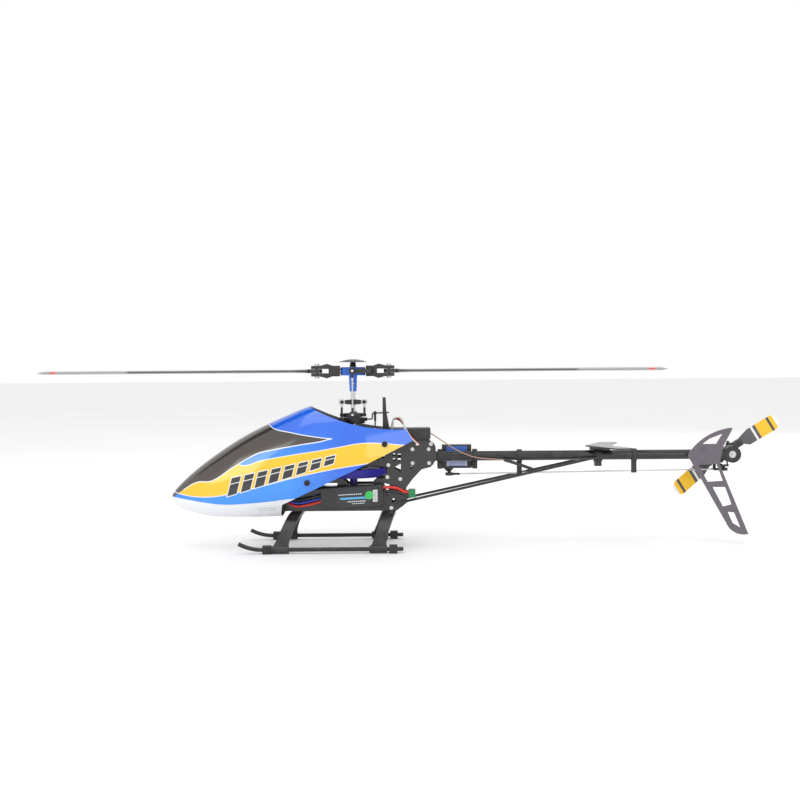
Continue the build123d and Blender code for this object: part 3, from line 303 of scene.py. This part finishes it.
def woven(name, colour, pitch, flat="xz"):
    """Carbon plate under clear resin: a twill in the plane of the plate."""
    plate = Finish(name, roughness=0.3, coat=0.35)
    u = plate.x
    v = plate.z if flat == "xz" else plate.y
    across = (u + v).rest(pitch * 2).under(pitch, 0.1)
    along = (u - v).rest(pitch * 2).under(pitch, 0.1)
    twill = (across - along).size()
    marks = plate.noise(50.0, 4.0)
    pale = tuple(c * 2.2 + 0.008 for c in colour)
    plate.feed(plate.shader.inputs["Base Color"], plate.mix(twill * 0.75 + (marks - 0.5) * 0.3, colour, pale))
    plate.feed(plate.shader.inputs["Roughness"], 0.24 + twill * 0.12 + (marks - 0.5) * 0.2)
    plate.grain(twill, 0.08, 0.0001)
    return plate.material


dress(woven("side_plate_weave", (0.012, 0.012, 0.013), 1.1), "frame_plates")
dress(woven("vertical_fin_weave", (0.075, 0.062, 0.078), 1.3), "vertical_fin")
dress(woven("horizontal_fin_weave", (0.012, 0.012, 0.014), 1.3, "xy"), "horizontal_fin")

# %% Tubes, rails and struts
tube = Finish("black_tube", metallic=0.3, coat=0.4).wear((0.012, 0.012, 0.013), 0.24, 0.05, 0.08, 700.0, 0.03)
dress(tube, "tail_boom", "boom_supports", "skid_rails")
dress(Finish("strut_nylon", coat=0.1).wear((0.013, 0.013, 0.014), 0.34, 0.05, 0.14, 1500.0, 0.1), "landing_struts")

# %% Two looks in one piece


def two_looks(name, outer, inner, choose, roughness=0.32):
    """One piece of metal and plastic: choose() says where the metal is."""
    both = Finish(name)
    metal = choose(both)
    marks = both.noise(70.0, 4.0)
    fine = both.noise(1500.0, 2.0)
    base = both.mix(metal, outer, inner)
    both.feed(both.shader.inputs["Base Color"], both.mix((marks - 0.5).size() * 0.3, base, (0.3, 0.3, 0.3)))
    both.feed(both.shader.inputs["Metallic"], metal)
    both.feed(both.shader.inputs["Roughness"], roughness + (marks - 0.5) * 0.2 + (1 - metal) * 0.1)
    both.grain(fine, 0.06)
    return both.material


BLACK = (0.016, 0.016, 0.018)
STEEL = (0.6, 0.6, 0.59)
dress(two_looks("link_and_rod", BLACK, STEEL, lambda f: f.z.between(155.5, 188.5)), "swash_links")
dress(two_looks("servo_rod", BLACK, STEEL, lambda f: f.z.between(121.0, 132.0)), "servo_rods")
dress(two_looks("pushrod", BLACK, STEEL, lambda f: f.x.between(-404.0, -119.0)), "tail_pushrod")
dress(two_looks("pitch_ring", (0.02, 0.02, 0.024), STEEL,
                lambda f: (f.x * f.x + f.y * f.y).over(15.0 ** 2, 4.0) * f.x.size().under(5.0)), "swash_upper")
dress(two_looks("hub_metal", (0.01, 0.12, 0.6), STEEL,
                lambda f: (f.y.size().over(4.9)).most(f.x.size().over(13.3)), 0.25), "rotor_hub")

# %% [markdown]
# ## Main blades and their grips
# The blades are moulded composite: dark, with a pale outer stretch and a coloured tip band that
# lets the pilot see the tracking of the two tips. The bolt that holds a blade is steel, while the
# grip round it is black nylon.

# %% Blade paint
blade_paint = Finish("blade_paint", roughness=0.3, coat=0.3)
reach = blade_paint.x.size()
weave = (blade_paint.x + blade_paint.y).rest(2.4).under(1.2, 0.3)
grime = blade_paint.noise(40.0, 5.0, (0.3, 1.0, 1.0))
cloth = blade_paint.mix(weave * 0.5 + (grime - 0.5) * 0.5, (0.018, 0.019, 0.022), (0.05, 0.052, 0.058))
front_edge = (blade_paint.y * blade_paint.x / reach)
pale = blade_paint.mix(reach.over(250.0, 4.0) * front_edge.size().over(11.0, 1.0) * 0.5, cloth, (0.5, 0.5, 0.52))
banded = blade_paint.mix(reach.between(329.0, 336.0), pale, (0.62, 0.02, 0.02))
balance = (blade_paint.x - 129.0).size().under(4.5) * blade_paint.y.size().under(9.0)
blade_paint.feed(blade_paint.shader.inputs["Base Color"], blade_paint.mix(balance, banded, (0.008, 0.008, 0.009)))
blade_paint.feed(blade_paint.shader.inputs["Roughness"], 0.26 + (grime - 0.5) * 0.3 + balance * 0.3)
blade_paint.grain(weave, 0.05, 0.0001)
dress(blade_paint.material, "blade_front", "blade_rear")

# %% Grips with steel bolts
grip_look = two_looks(
    "grip_and_bolt", (0.02, 0.02, 0.022), STEEL,
    lambda f: ((f.x.size() - 40.5).size().under(3.0) * (f.z - ROTOR_Z).size().over(5.95)).most(
        (f.x.size().under(2.6)) * (f.y.size() - 18.0).size().under(3.2)))
dress(grip_look, "grip_front", "grip_rear")

# %% [markdown]
# ## Tail blades
# Bands across the blades make a spinning tail rotor easy to see. Their distance from the shaft
# decides the colour, so both blades get the same bands from one finish.

# %% Tail blade bands
tail_paint = Finish("tail_blade_paint", roughness=0.4, coat=0.2)
out_x = tail_paint.x - TAIL_X
out_z = tail_paint.z - BOOM_Z
slope_x = -cos(radians(31))
slope_z = sin(radians(31))
run = (out_x * slope_x + out_z * slope_z).size()
tail_grime = tail_paint.noise(80.0, 4.0)
stone = tail_paint.mix((tail_grime - 0.5) * 2.0, (0.085, 0.082, 0.09), (0.16, 0.155, 0.16))
lined = tail_paint.mix(run.between(40.0, 42.5), stone, (0.8, 0.8, 0.8))
yellow = tail_paint.mix(run.over(46.0), lined, (0.86, 0.5, 0.01))
dark_line = tail_paint.mix(run.between(60.5, 63.5), yellow, (0.05, 0.05, 0.055))
tail_paint.feed(tail_paint.shader.inputs["Base Color"], tail_paint.mix(run.over(68.0), dark_line, (0.8, 0.8, 0.8)))
tail_paint.feed(tail_paint.shader.inputs["Roughness"], 0.36 + (tail_grime - 0.5) * 0.3)
tail_paint.grain(tail_paint.noise(1500.0), 0.08)
dress(tail_paint.material, "tail_blade_upper", "tail_blade_lower")

# %% [markdown]
# ## Electronics with printed wraps
# Servos, speed controller and battery are plain boxes whose looks come from their printed wraps.
# The print here is only bars and blocks: no words, names or marks. A print is part of the finish,
# placed by x and z on the face that shows it.

# %% Speed controller wrap


def block(f, x, z, wide, tall, along="x"):
    """Where a printed block covers the wrap, by its middle and size."""
    first = f.x if along == "x" else f.y
    return (first - x).size().under(wide / 2, 0.2) * (f.z - z).size().under(tall / 2, 0.2)


wrap = Finish("controller_wrap", roughness=0.35, coat=0.25)
TILT = radians(3.0)
lift = (wrap.x - 1.0) * sin(TILT)
wrap.z = wrap.z + lift
outer_side = wrap.y.over(22.0)
crinkle = wrap.noise(220.0, 3.0, (1.0, 1.0, 0.4))
sleeve = wrap.mix((crinkle - 0.5).size() * 0.5, (0.012, 0.012, 0.013), (0.06, 0.06, 0.065))
label_area = block(wrap, -1.0, 57.0, 38.0, 21.0) * outer_side
label = wrap.mix(label_area, sleeve, (0.02, 0.022, 0.026))
sky = wrap.mix(block(wrap, -2.0, 56.2, 32.0, 2.2) * outer_side, label, (0.1, 0.42, 0.72))
bars = block(wrap, 3.0, 60.5, 26.0, 1.0) + block(wrap, -4.0, 52.6, 20.0, 1.0) + block(wrap, -6.0, 50.2, 14.0, 0.8)
ticks = wrap.x.rest(2.4).under(1.7, 0.2)
print_white = wrap.mix((bars * ticks).least(1.0) * outer_side, sky, (0.75, 0.78, 0.8))
tag = wrap.mix(block(wrap, -24.5, 57.5, 5.0, 13.0) * outer_side, print_white, (0.7, 0.7, 0.68))
tag_bars = wrap.mix(block(wrap, -24.5, 57.5, 3.4, 11.0) * wrap.z.rest(1.4).under(0.6, 0.1) * outer_side, tag,
                    (0.15, 0.15, 0.15))
dot = ((wrap.x + 18.0) * (wrap.x + 18.0) + (wrap.z - 58.5) * (wrap.z - 58.5)).under(4.6 ** 2, 2.0) * outer_side
wrap.feed(wrap.shader.inputs["Base Color"], wrap.mix(dot, tag_bars, (0.03, 0.5, 0.1)))
wrap.feed(wrap.shader.inputs["Roughness"], 0.3 + (crinkle - 0.5) * 0.3)
wrap.grain(crinkle, 0.25, 0.0006)
dress(wrap.material, "speed_controller")

# %% Servo, battery and connector
servo_case = Finish("servo_case", roughness=0.35, coat=0.1)
servo_marks = servo_case.noise(90.0, 4.0)
high_label = servo_case.z.between(102.5, 110.5) * (servo_case.x + 116.2).size().under(11.5)
low_label = servo_case.z.between(88.0, 96.0) * (servo_case.x + 116.2).size().under(11.5)
case = servo_case.mix((servo_marks - 0.5).size() * 0.4, (0.015, 0.015, 0.018), (0.08, 0.08, 0.09))
blue_label = servo_case.mix(high_label, case, (0.03, 0.12, 0.5))
lilac = servo_case.mix(low_label, blue_label, (0.5, 0.52, 0.72))
lines = low_label * servo_case.z.rest(2.0).under(0.7, 0.1) * (servo_case.x + 116.2).size().under(9.0)
servo_case.feed(servo_case.shader.inputs["Base Color"], servo_case.mix(lines, lilac, (0.05, 0.06, 0.3)))
servo_case.feed(servo_case.shader.inputs["Roughness"], 0.32 + (servo_marks - 0.5) * 0.3)
servo_case.grain(servo_case.noise(1800.0), 0.1)
dress(servo_case.material, "tail_servo")
dress(Finish("cyclic_servo_case", coat=0.1).wear((0.016, 0.016, 0.02), 0.34, 0.06, 0.12, 1500.0, 0.08), "cyclic_servos")

pack = Finish("battery_wrap", roughness=0.3, coat=0.4)
folds = pack.noise(120.0, 3.0, (0.3, 1.0, 1.0))
stripe = (pack.z - 55.2).size().under(3.0)
wrap_blue = pack.mix((folds - 0.5) * 0.6 + 0.3, (0.02, 0.025, 0.06), (0.05, 0.06, 0.12))
pack.feed(pack.shader.inputs["Base Color"], pack.mix(stripe * 0.8, wrap_blue, (0.4, 0.42, 0.46)))
pack.feed(pack.shader.inputs["Roughness"], 0.25 + (folds - 0.5) * 0.25)
pack.grain(folds, 0.3, 0.0006)
dress(pack.material, "battery")
dress(Finish("green_connector").wear((0.01, 0.2, 0.07), 0.4, 0.05, 0.1, 1300.0, 0.06), "battery_connector")
dress(Finish("copper_windings", metallic=0.8).wear((0.4, 0.16, 0.05), 0.35, 0.05, 0.2, 1800.0, 0.3), "motor_stator")

# %% [markdown]
# ## The canopy
# The canopy is one thin moulded shell: a fat teardrop whose section changes along the body, cut
# away at the top for the rotor mast and at the back for the gears. A shell like this can be
# sculpted or boxed out by hand. Here it starts as circles, one for each station, because a circle
# that is moved point by point to the section keeps an even ring of edges. The rings are bridged,
# the side profile is cut out with a Boolean, and Solidify gives the wall its thickness.

# %% Canopy stations
CANOPY_LINES = (
    (-70.0, 60.0, 156.0, 24.5), (-40.0, 54.0, 158.0, 32.5), (-10.0, 48.0, 160.0, 39.6),
    (25.0, 41.0, 160.0, 40.0), (48.8, 38.0, 157.2, 39.4), (76.0, 35.6, 146.6, 38.6),
    (103.0, 34.6, 134.4, 36.8), (130.0, 34.2, 119.8, 33.0), (157.0, 35.2, 101.8, 26.2),
    (175.0, 38.6, 88.2, 20.0), (190.0, 43.0, 75.0, 13.0), (199.0, 47.6, 65.6, 7.4), (203.0, 52.4, 60.0, 3.6),
)
WIDEST = 0.37
RING = 72


def along_canopy(x, column):
    """A canopy line at a station: a smooth curve through the listed stations."""
    rows = CANOPY_LINES
    last = len(rows) - 2
    here = max(i for i in range(last + 1) if rows[i][0] <= x or i == 0)
    p = [rows[min(max(i, 0), last + 1)] for i in (here - 1, here, here + 1, here + 2)]
    span = p[2][0] - p[1][0]
    t = min(max((x - p[1][0]) / span, 0.0), 1.0)
    slope_in = (p[2][column] - p[0][column]) / max(p[2][0] - p[0][0], 1e-6) * span
    slope_out = (p[3][column] - p[1][column]) / max(p[3][0] - p[1][0], 1e-6) * span
    a, b = p[1][column], p[2][column]
    return (a * (1 + 2 * t) * (1 - t) ** 2 + b * (3 - 2 * t) * t * t
            + slope_in * t * (1 - t) ** 2 - slope_out * t * t * (1 - t))


def section(x, turn):
    """A point of the canopy's skin at a station, by its turn round the section."""
    low, high, half = (along_canopy(x, column) for column in (1, 2, 3))
    rise = sin(turn)
    width = abs(cos(turn)) ** (0.58 if rise < 0 else 0.95)
    share = WIDEST + (WIDEST if rise < 0 else 1 - WIDEST) * rise
    side = 1 if cos(turn) >= 0 else -1
    return spot(x, side * half * width, low + (high - low) * share)


# %% Canopy skin
canopy_form = bmesh.new()
loops = []
nose_steps = [x for x in range(-70, 188, 4)] + [190.0, 193.0, 196.0, 199.0, 201.0, 202.3, 203.0]
for x in nose_steps:
    ring = bmesh.ops.create_circle(canopy_form, segments=RING, radius=1.0)["verts"]
    for corner in ring:
        corner.co = section(float(x), atan2(corner.co.y, corner.co.x))
    loops.append(list({edge for corner in ring for edge in corner.link_edges}))
for before, after in zip(loops, loops[1:]):
    bmesh.ops.bridge_loops(canopy_form, edges=before + after)
for ends in (loops[0], loops[-1]):
    bmesh.ops.contextual_create(canopy_form, geom=ends)
bmesh.ops.recalc_face_normals(canopy_form, faces=canopy_form.faces)


def keep(shape, name, smooth=True, angle=35.0):
    """Turns a finished bmesh into an object at the origin."""
    mesh = bpy.data.meshes.new(name)
    shape.to_mesh(mesh)
    shape.free()
    made = bpy.data.objects.new(name, mesh)
    bpy.context.scene.collection.objects.link(made)
    if smooth:
        mesh.shade_smooth()
        mesh.set_sharp_from_angle(angle=radians(angle))
    print(name, len(mesh.polygons), "faces")
    return made


canopy = keep(canopy_form, "canopy_shell")

# %% The side profile that is cut out of it
PROFILE_ARC = ((-58.9, 131.7), (6.0, 139.4), (48.8, 157.2))


def arc_through(first, middle, last, steps):
    """Points on the round arc through three points."""
    (ax, az), (bx, bz), (cx, cz) = first, middle, last
    d = 2 * (ax * (bz - cz) + bx * (cz - az) + cx * (az - bz))
    a2, b2, c2 = ax * ax + az * az, bx * bx + bz * bz, cx * cx + cz * cz
    ux = (a2 * (bz - cz) + b2 * (cz - az) + c2 * (az - bz)) / d
    uz = (a2 * (cx - bx) + b2 * (ax - cx) + c2 * (bx - ax)) / d
    radius = hypot(ax - ux, az - uz)
    start, end = atan2(az - uz, ax - ux), atan2(cz - uz, cx - ux)
    turns = (start + (end - start) * i / steps for i in range(steps + 1))
    return [(ux + radius * cos(t), uz + radius * sin(t)) for t in turns]


cutter = bmesh.new()
outline = arc_through(*PROFILE_ARC, 24) + [
    (48.8, 178.0), (215.0, 178.0), (215.0, 20.0), (79.0, 20.0), (79.0, 40.0), (76.9, 50.7),
    (-53.6, 112.7), (-66.2, 119.0)]
corners = [cutter.verts.new(spot(x, -60.0, z)) for x, z in outline]
side_face = cutter.faces.new(corners)
pulled = bmesh.ops.extrude_face_region(cutter, geom=[side_face])["geom"]
bmesh.ops.translate(cutter, vec=(0, 0.12, 0), verts=[g for g in pulled if isinstance(g, bmesh.types.BMVert)])
bmesh.ops.recalc_face_normals(cutter, faces=cutter.faces)
profile = keep(cutter, "profile_cutter", smooth=False)
wall_mark = bpy.data.materials.new("cut_mark")
shell_mark = bpy.data.materials.new("shell_mark")
canopy.data.materials.append(shell_mark)
profile.data.materials.append(wall_mark)


def apply(piece, kind, **settings):
    """Adds a modifier, and makes its result the piece's mesh."""
    step = piece.modifiers.new(kind.lower(), kind)
    for key, value in settings.items():
        setattr(step, key, value)
    bpy.context.view_layer.update()
    solved = bpy.data.meshes.new_from_object(piece.evaluated_get(bpy.context.evaluated_depsgraph_get()))
    piece.modifiers.clear()
    piece.data = solved


apply(canopy, "BOOLEAN", object=profile, operation="INTERSECT", solver="EXACT", material_mode="TRANSFER")
bpy.data.objects.remove(profile)
skin = bmesh.new()
skin.from_mesh(canopy.data)
marks = [m.name if m else "" for m in canopy.data.materials]
walls = [f for f in skin.faces if marks[f.material_index] == "cut_mark"]
bmesh.ops.delete(skin, geom=walls, context="FACES")
bmesh.ops.remove_doubles(skin, verts=skin.verts, dist=0.00002)
for face in skin.faces:
    face.material_index = 0
skin.to_mesh(canopy.data)
skin.free()
print("canopy skin", len(canopy.data.polygons), "faces after", len(walls), "cut faces are gone")

# %% [markdown]
# ## Canopy paint
# The shell is painted in blocks of colour with thin silver lines between them. Each border is a
# line drawn through a few given places, read at the point's x, and a block is what lies above or
# below its line. The lettering of a real machine is replaced by plain slanted bars that shrink
# towards the tail. A deep clear coat over everything gives the long reflections.

# %% Canopy paint
shell_paint = Finish("canopy_paint", roughness=0.16, coat=0.9)
SPAN = (-80.0, 210.0)
TALL = 220.0


def border(points):
    return shell_paint.curve(shell_paint.x, points, SPAN, TALL)


glass_low = border([(-80, 122.4), (22.7, 122.4), (34.3, 119.6), (56.1, 116.2), (88.7, 110.4), (103.0, 107.0),
                    (110.5, 103.5), (132.3, 90.8), (150.0, 79.0), (157.0, 76.0), (172.0, 74.6), (186.8, 67.0),
                    (210, 50.0)])
glass_high = border([(-80, 121.0), (22.7, 122.6), (45.7, 125.3), (67.6, 129.2), (89.5, 134.6), (97.0, 142.0),
                     (101.0, 219.0), (210, 219.0)])
band_high = border([(-80, 113.0), (-52.9, 114.8), (-31.1, 117.1), (-9.3, 117.3), (12.5, 113.8), (34.3, 110.0),
                    (67.0, 105.0), (99.6, 99.2), (121.4, 94.0), (128.0, 99.0), (140.0, 120.0), (210, 200.0)])
band_low = border([(-80, 104.0), (12.5, 91.0), (34.3, 87.0), (67.0, 79.8), (99.6, 71.2), (132.3, 63.2),
                   (154.1, 59.3), (175.0, 58.8), (190.0, 60.4), (203.0, 63.0), (210, 64.0)])
belly_high = border([(-80, 60.0), (67.0, 57.0), (88.7, 54.3), (110.5, 52.2), (143.2, 50.4), (165.0, 52.4),
                     (190.0, 55.5), (210, 57.5)])

up = shell_paint.z
in_glass = (up - glass_low).over(0.0) * (glass_high - up).over(0.0) * shell_paint.x.over(22.0)
in_band = (up - band_low).over(0.0) * (band_high - up).over(0.0) * (1 - in_glass)
in_belly = (belly_high - up).over(0.0)
edge_lines = ((up - glass_low).size().under(0.55) * shell_paint.x.between(22.0, 189.0)).most(
    (up - glass_high).size().under(0.5) * shell_paint.x.between(22.0, 99.0)).most(
    (up - band_high).size().under(0.4) * shell_paint.x.under(123.0)).most((up - band_low).size().under(0.45)).most(
    (up - belly_high).size().under(0.35))

sheen = shell_paint.noise(9.0, 2.0)
dust = shell_paint.noise(420.0, 4.0)
deep = shell_paint.mix(sheen, (0.006, 0.09, 0.62), (0.012, 0.16, 0.78))
# Painted light: below the windscreen line and towards the nose the blue is painted lighter, like a lit copy of the same
# blue paint.
lit_blue_below_glass = shell_paint.mix((glass_low - up).over(-1.0, 30.0) * shell_paint.x.over(40.0, 60.0), deep, (0.03, 0.27, 0.86))
glass = shell_paint.mix((up - glass_low).over(22.0, 44.0), (0.05, 0.036, 0.028), (0.014, 0.010, 0.009))
gold = shell_paint.mix(shell_paint.noise(16.0, 3.0), (0.86, 0.46, 0.0), (0.92, 0.56, 0.01))
pearl = shell_paint.mix(sheen, (0.7, 0.72, 0.76), (0.82, 0.83, 0.86))
painted = shell_paint.mix(in_belly, shell_paint.mix(in_band, shell_paint.mix(in_glass, lit_blue_below_glass, glass), gold), pearl)
lined = shell_paint.mix(edge_lines, painted, (0.74, 0.78, 0.84))

# %% The slanted bars on the side
START_X, START_Z, END_X, END_Z = 136.0, 70.0, 12.0, 102.5
LENGTH = hypot(END_X - START_X, END_Z - START_Z)
way_x, way_z = (END_X - START_X) / LENGTH, (END_Z - START_Z) / LENGTH
run_along = (shell_paint.x - START_X) * way_x + (shell_paint.z - START_Z) * way_z
run_across = (shell_paint.z - START_Z) * way_x * -1 + (shell_paint.x - START_X) * way_z
bar_height = 9.2 - run_along * 0.043
leaned = run_along - run_across * 0.55
bar_step = 15.5


def bars(grow):
    inside = leaned.rest(bar_step).between(1.6 - grow, 12.4 + grow, 0.25)
    return (inside * run_across.size().under(bar_height + grow, 0.25)
            * leaned.between(0.2 - grow, bar_step * 8 - 1.4, 0.25))


glint = (run_across - bar_height * 0.3).size().under(0.5, 0.2)
outlined = shell_paint.mix(bars(0.9), lined, (0.78, 0.8, 0.82))
barred = shell_paint.mix(bars(0.0) * (1 - glint * 0.8), outlined, (0.012, 0.012, 0.014))
small_lines = (up - 44.0 - (shell_paint.x - 95.0) * -0.02).rest(2.2).under(0.7, 0.2) * up.between(43.4, 47.4)
ticked = small_lines * shell_paint.x.between(84.0, 104.0) * shell_paint.x.rest(3.4).under(2.6, 0.2)
shell_paint.feed(shell_paint.shader.inputs["Base Color"], shell_paint.mix(ticked * 0.7, barred, (0.25, 0.25, 0.28)))
shell_paint.feed(shell_paint.shader.inputs["Roughness"], 0.13 + (dust - 0.5).size() * 0.3 + in_glass * 0.05)
shell_paint.grain(shell_paint.noise(130.0, 2.0), 0.02, 0.0004)

# %% Inside of the shell and its rim
inner_resin = Finish("shell_inside").wear((0.32, 0.33, 0.35), 0.6, 0.1, 0.2, 500.0, 0.3)
rim_trim = Finish("shell_rim").wear((0.02, 0.022, 0.03), 0.4, 0.05, 0.1, 900.0, 0.05)
canopy.data.materials.clear()
for finish in (shell_paint.material, inner_resin, rim_trim):
    canopy.data.materials.append(finish)
apply(canopy, "SOLIDIFY", thickness=0.0013, offset=-1.0, material_offset=1, material_offset_rim=2,
      use_even_offset=False)
canopy.data.shade_smooth()
canopy.data.set_sharp_from_angle(angle=radians(35.0))
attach(canopy, "airframe")
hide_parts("canopy")
print("canopy done:", len(canopy.data.polygons), "faces")

# %% [markdown]
# ## Canopy grommets
# Four rubber grommets slip over posts on the frame and hold the canopy by friction. A grommet is a
# turned shape, so half of its outline is spun round the post: a rolled lip outside, a groove for
# the shell and a smaller lip inside. It stands square to the post and just proud of the skin.

# %% Spun shapes


def turned(name, outline, middle, along, finish, body, steps=32):
    """A shape of revolution: outline holds (distance out, distance along) in millimetres."""
    shape = bmesh.new()
    corners = [shape.verts.new((out / 1000, 0, run / 1000)) for out, run in outline]
    edges = [shape.edges.new(pair) for pair in zip(corners, corners[1:])]
    bmesh.ops.spin(shape, geom=corners + edges, cent=(0, 0, 0), axis=(0, 0, 1), angle=2 * pi, steps=steps,
                   use_merge=True)
    bmesh.ops.remove_doubles(shape, verts=shape.verts, dist=0.000005)
    bmesh.ops.recalc_face_normals(shape, faces=shape.faces)
    turn = Vector(along).to_track_quat("Z", "Y").to_matrix().to_4x4()
    bmesh.ops.transform(shape, matrix=Matrix.Translation(spot(*middle)) @ turn, verts=shape.verts)
    made = keep(shape, name, angle=40.0)
    made.data.materials.append(finish)
    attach(made, body)
    return made


def skin_reach(x, z):
    """How far the canopy's skin stands out from the middle at a place."""
    low, high = along_canopy(x, 1), along_canopy(x, 2)
    share = (z - low) / (high - low)
    below = share < WIDEST
    rise = (share - WIDEST) / (WIDEST if below else 1 - WIDEST)
    return along_canopy(x, 3) * (1 - rise * rise) ** (0.29 if below else 0.475)


POSTS = ((49.1, 75.0), (-35.5, 115.9))
GROMMET = ((0.0, 1.2), (1.1, 1.3), (1.5, 0.9), (1.7, 1.5), (2.4, 1.7), (3.0, 1.3), (3.2, 0.6), (3.1, -0.4),
           (2.6, -0.8), (2.6, -2.0), (0.0, -2.4))
for index, (x, z) in enumerate(POSTS):
    for side, word in ((1, "port"), (-1, "starboard")):
        out = skin_reach(x, z)
        tilt = (skin_reach(x, z - 3.0) - skin_reach(x, z + 3.0)) / 6.0
        grommet = turned(f"grommet_{index}_{word}", GROMMET, (x, side * (out + 0.3), z), (0, side, tilt), rubber, "airframe")
        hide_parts("canopy_grommets")

# %% [markdown]
# ## Wires
# Wires are soft and follow smooth lines. A NURBS curve through a few guide points, with a round
# bevel, gives the smoothest wire for the fewest points, and its guide points are the ones that the
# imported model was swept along, so the wire lies in the same place.

# %% A wire


def wire(name, points, radius, finish, node):
    """One insulated wire along its guide points."""
    data = bpy.data.curves.new(name, "CURVE")
    data.dimensions = "3D"
    spline = data.splines.new("NURBS")
    spline.points.add(len(points) - 1)
    for guide, place in zip(spline.points, points):
        guide.co = (*spot(*place), 1.0)
    spline.order_u = 3
    spline.use_endpoint_u = True
    spline.resolution_u = 10
    data.bevel_depth = radius / 1000
    data.bevel_resolution = 5
    data.use_fill_caps = True
    made = bpy.data.objects.new(name, data)
    bpy.context.scene.collection.objects.link(made)
    data.materials.append(finish)
    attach(made, "airframe")
    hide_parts(node)
    return made


def silicone(name, colour, roughness=0.38):
    return Finish(name, coat=0.15).wear(colour, roughness, 0.04, 0.12, 1800.0, 0.08)


red = silicone("red_silicone", (0.62, 0.025, 0.012))
blue = silicone("blue_silicone", (0.02, 0.05, 0.42))
black = silicone("black_silicone", (0.014, 0.014, 0.015))
white = silicone("white_insulation", (0.62, 0.6, 0.58))
tan = silicone("tan_insulation", (0.36, 0.22, 0.17))

# %% Motor wires
for drop, inset, finish, colour in ((0.0, 0.0, black, "black"), (-3.4, -0.4, blue, "blue"), (-6.8, 0.4, red, "red")):
    wire(f"motor_wire_{colour}", (
        (35.0, 19.0 + inset, 59.0 + drop), (50.0, 20.5 + inset, 55.4 + drop), (65.0, 20.0 + inset, 53.0 + drop),
        (75.6, 16.8, 61.0 + drop), (77.0 + drop / 4, 10.0, 76.0 + drop), (70.0 + drop / 3, 6.6 + drop, 89.6 + drop / 8),
        (60.0, 4.0 + drop, 94.4), (50.2, 4.0 + drop, 94.4)), 1.35, finish, "motor_wires")

# %% Battery leads
for drop, finish, colour in ((0.0, red, "red"), (-4.2, black, "black")):
    wire(f"power_lead_{colour}", (
        (-33.0, 18.2, 67.2 + drop), (-42.0, 17.9, 67.6 + drop), (-50.5, 17.2, 66.0 + drop),
        (-56.6, 16.4, 61.6 + drop * 0.6), (-61.4, 16.4, 61.6 + drop * 0.6)), 1.7, finish, "power_leads")
    wire(f"battery_lead_{colour}", (
        (-34.0, 3.0, 60.6 + drop), (-40.0, 3.0, 60.6 + drop), (-50.0, 5.2, 63.4 + drop),
        (-56.4, 8.6, 61.6 + drop * 0.6), (-61.4, 8.6, 61.6 + drop * 0.6)), 1.7, finish, "power_leads")

# %% Antenna and servo leads
ANTENNA_BACK = (-168.0, 8.4, 96.0)
wire("antenna", (
    (-86.4, 8.0, 126.2), (-94.0, 8.2, 121.4), (-103.0, 8.4, 115.0), (-114.0, 8.6, 107.8), (-126.0, 8.8, 102.0),
    (-139.0, 8.7, 98.2), (-153.0, 8.5, 97.0), ANTENNA_BACK), 0.65, tan, "signal_leads")
wire("antenna_sleeve", (
    ANTENNA_BACK, (-176.0, 8.6, 93.6), (-184.0, 8.9, 91.0), (-192.0, 8.6, 88.2), (-200.0, 8.0, 85.2)),
     1.8, black, "signal_leads")
for ribbon in range(3):
    for shift, finish, colour in ((-1.35, black, "black"), (0.0, red, "red"), (1.35, white, "white")):
        over = shift + ribbon * 1.1 - 0.6
        wire(f"servo_lead_{ribbon}_{colour}", (
            (-45.3, 4.6 + shift, 127.4 - ribbon * 2.4), (-43.0, 6.2 + over, 129.6 - ribbon),
            (-42.6 - ribbon * 1.2, 9.4 + over, 136.0 + ribbon * 0.4), (-45.4 + ribbon * 0.6, 12.4 + over, 142.6 + ribbon),
            (-50.6 - ribbon * 1.4, 15.0 + over, 143.8 + shift), (-55.2 - ribbon * 0.8, 16.4 + over, 139.6 + shift),
            (-58.0 + ribbon * 0.7, 16.9 + over, 133.0), (-61.8 + ribbon * 0.5, 16.9 + over, 126.4),
            (-67.4 + shift, 16.7 + shift, 119.8), (-74.0 + shift * 0.6, 16.0 + shift, 114.0)),
             0.72, finish, "signal_leads")
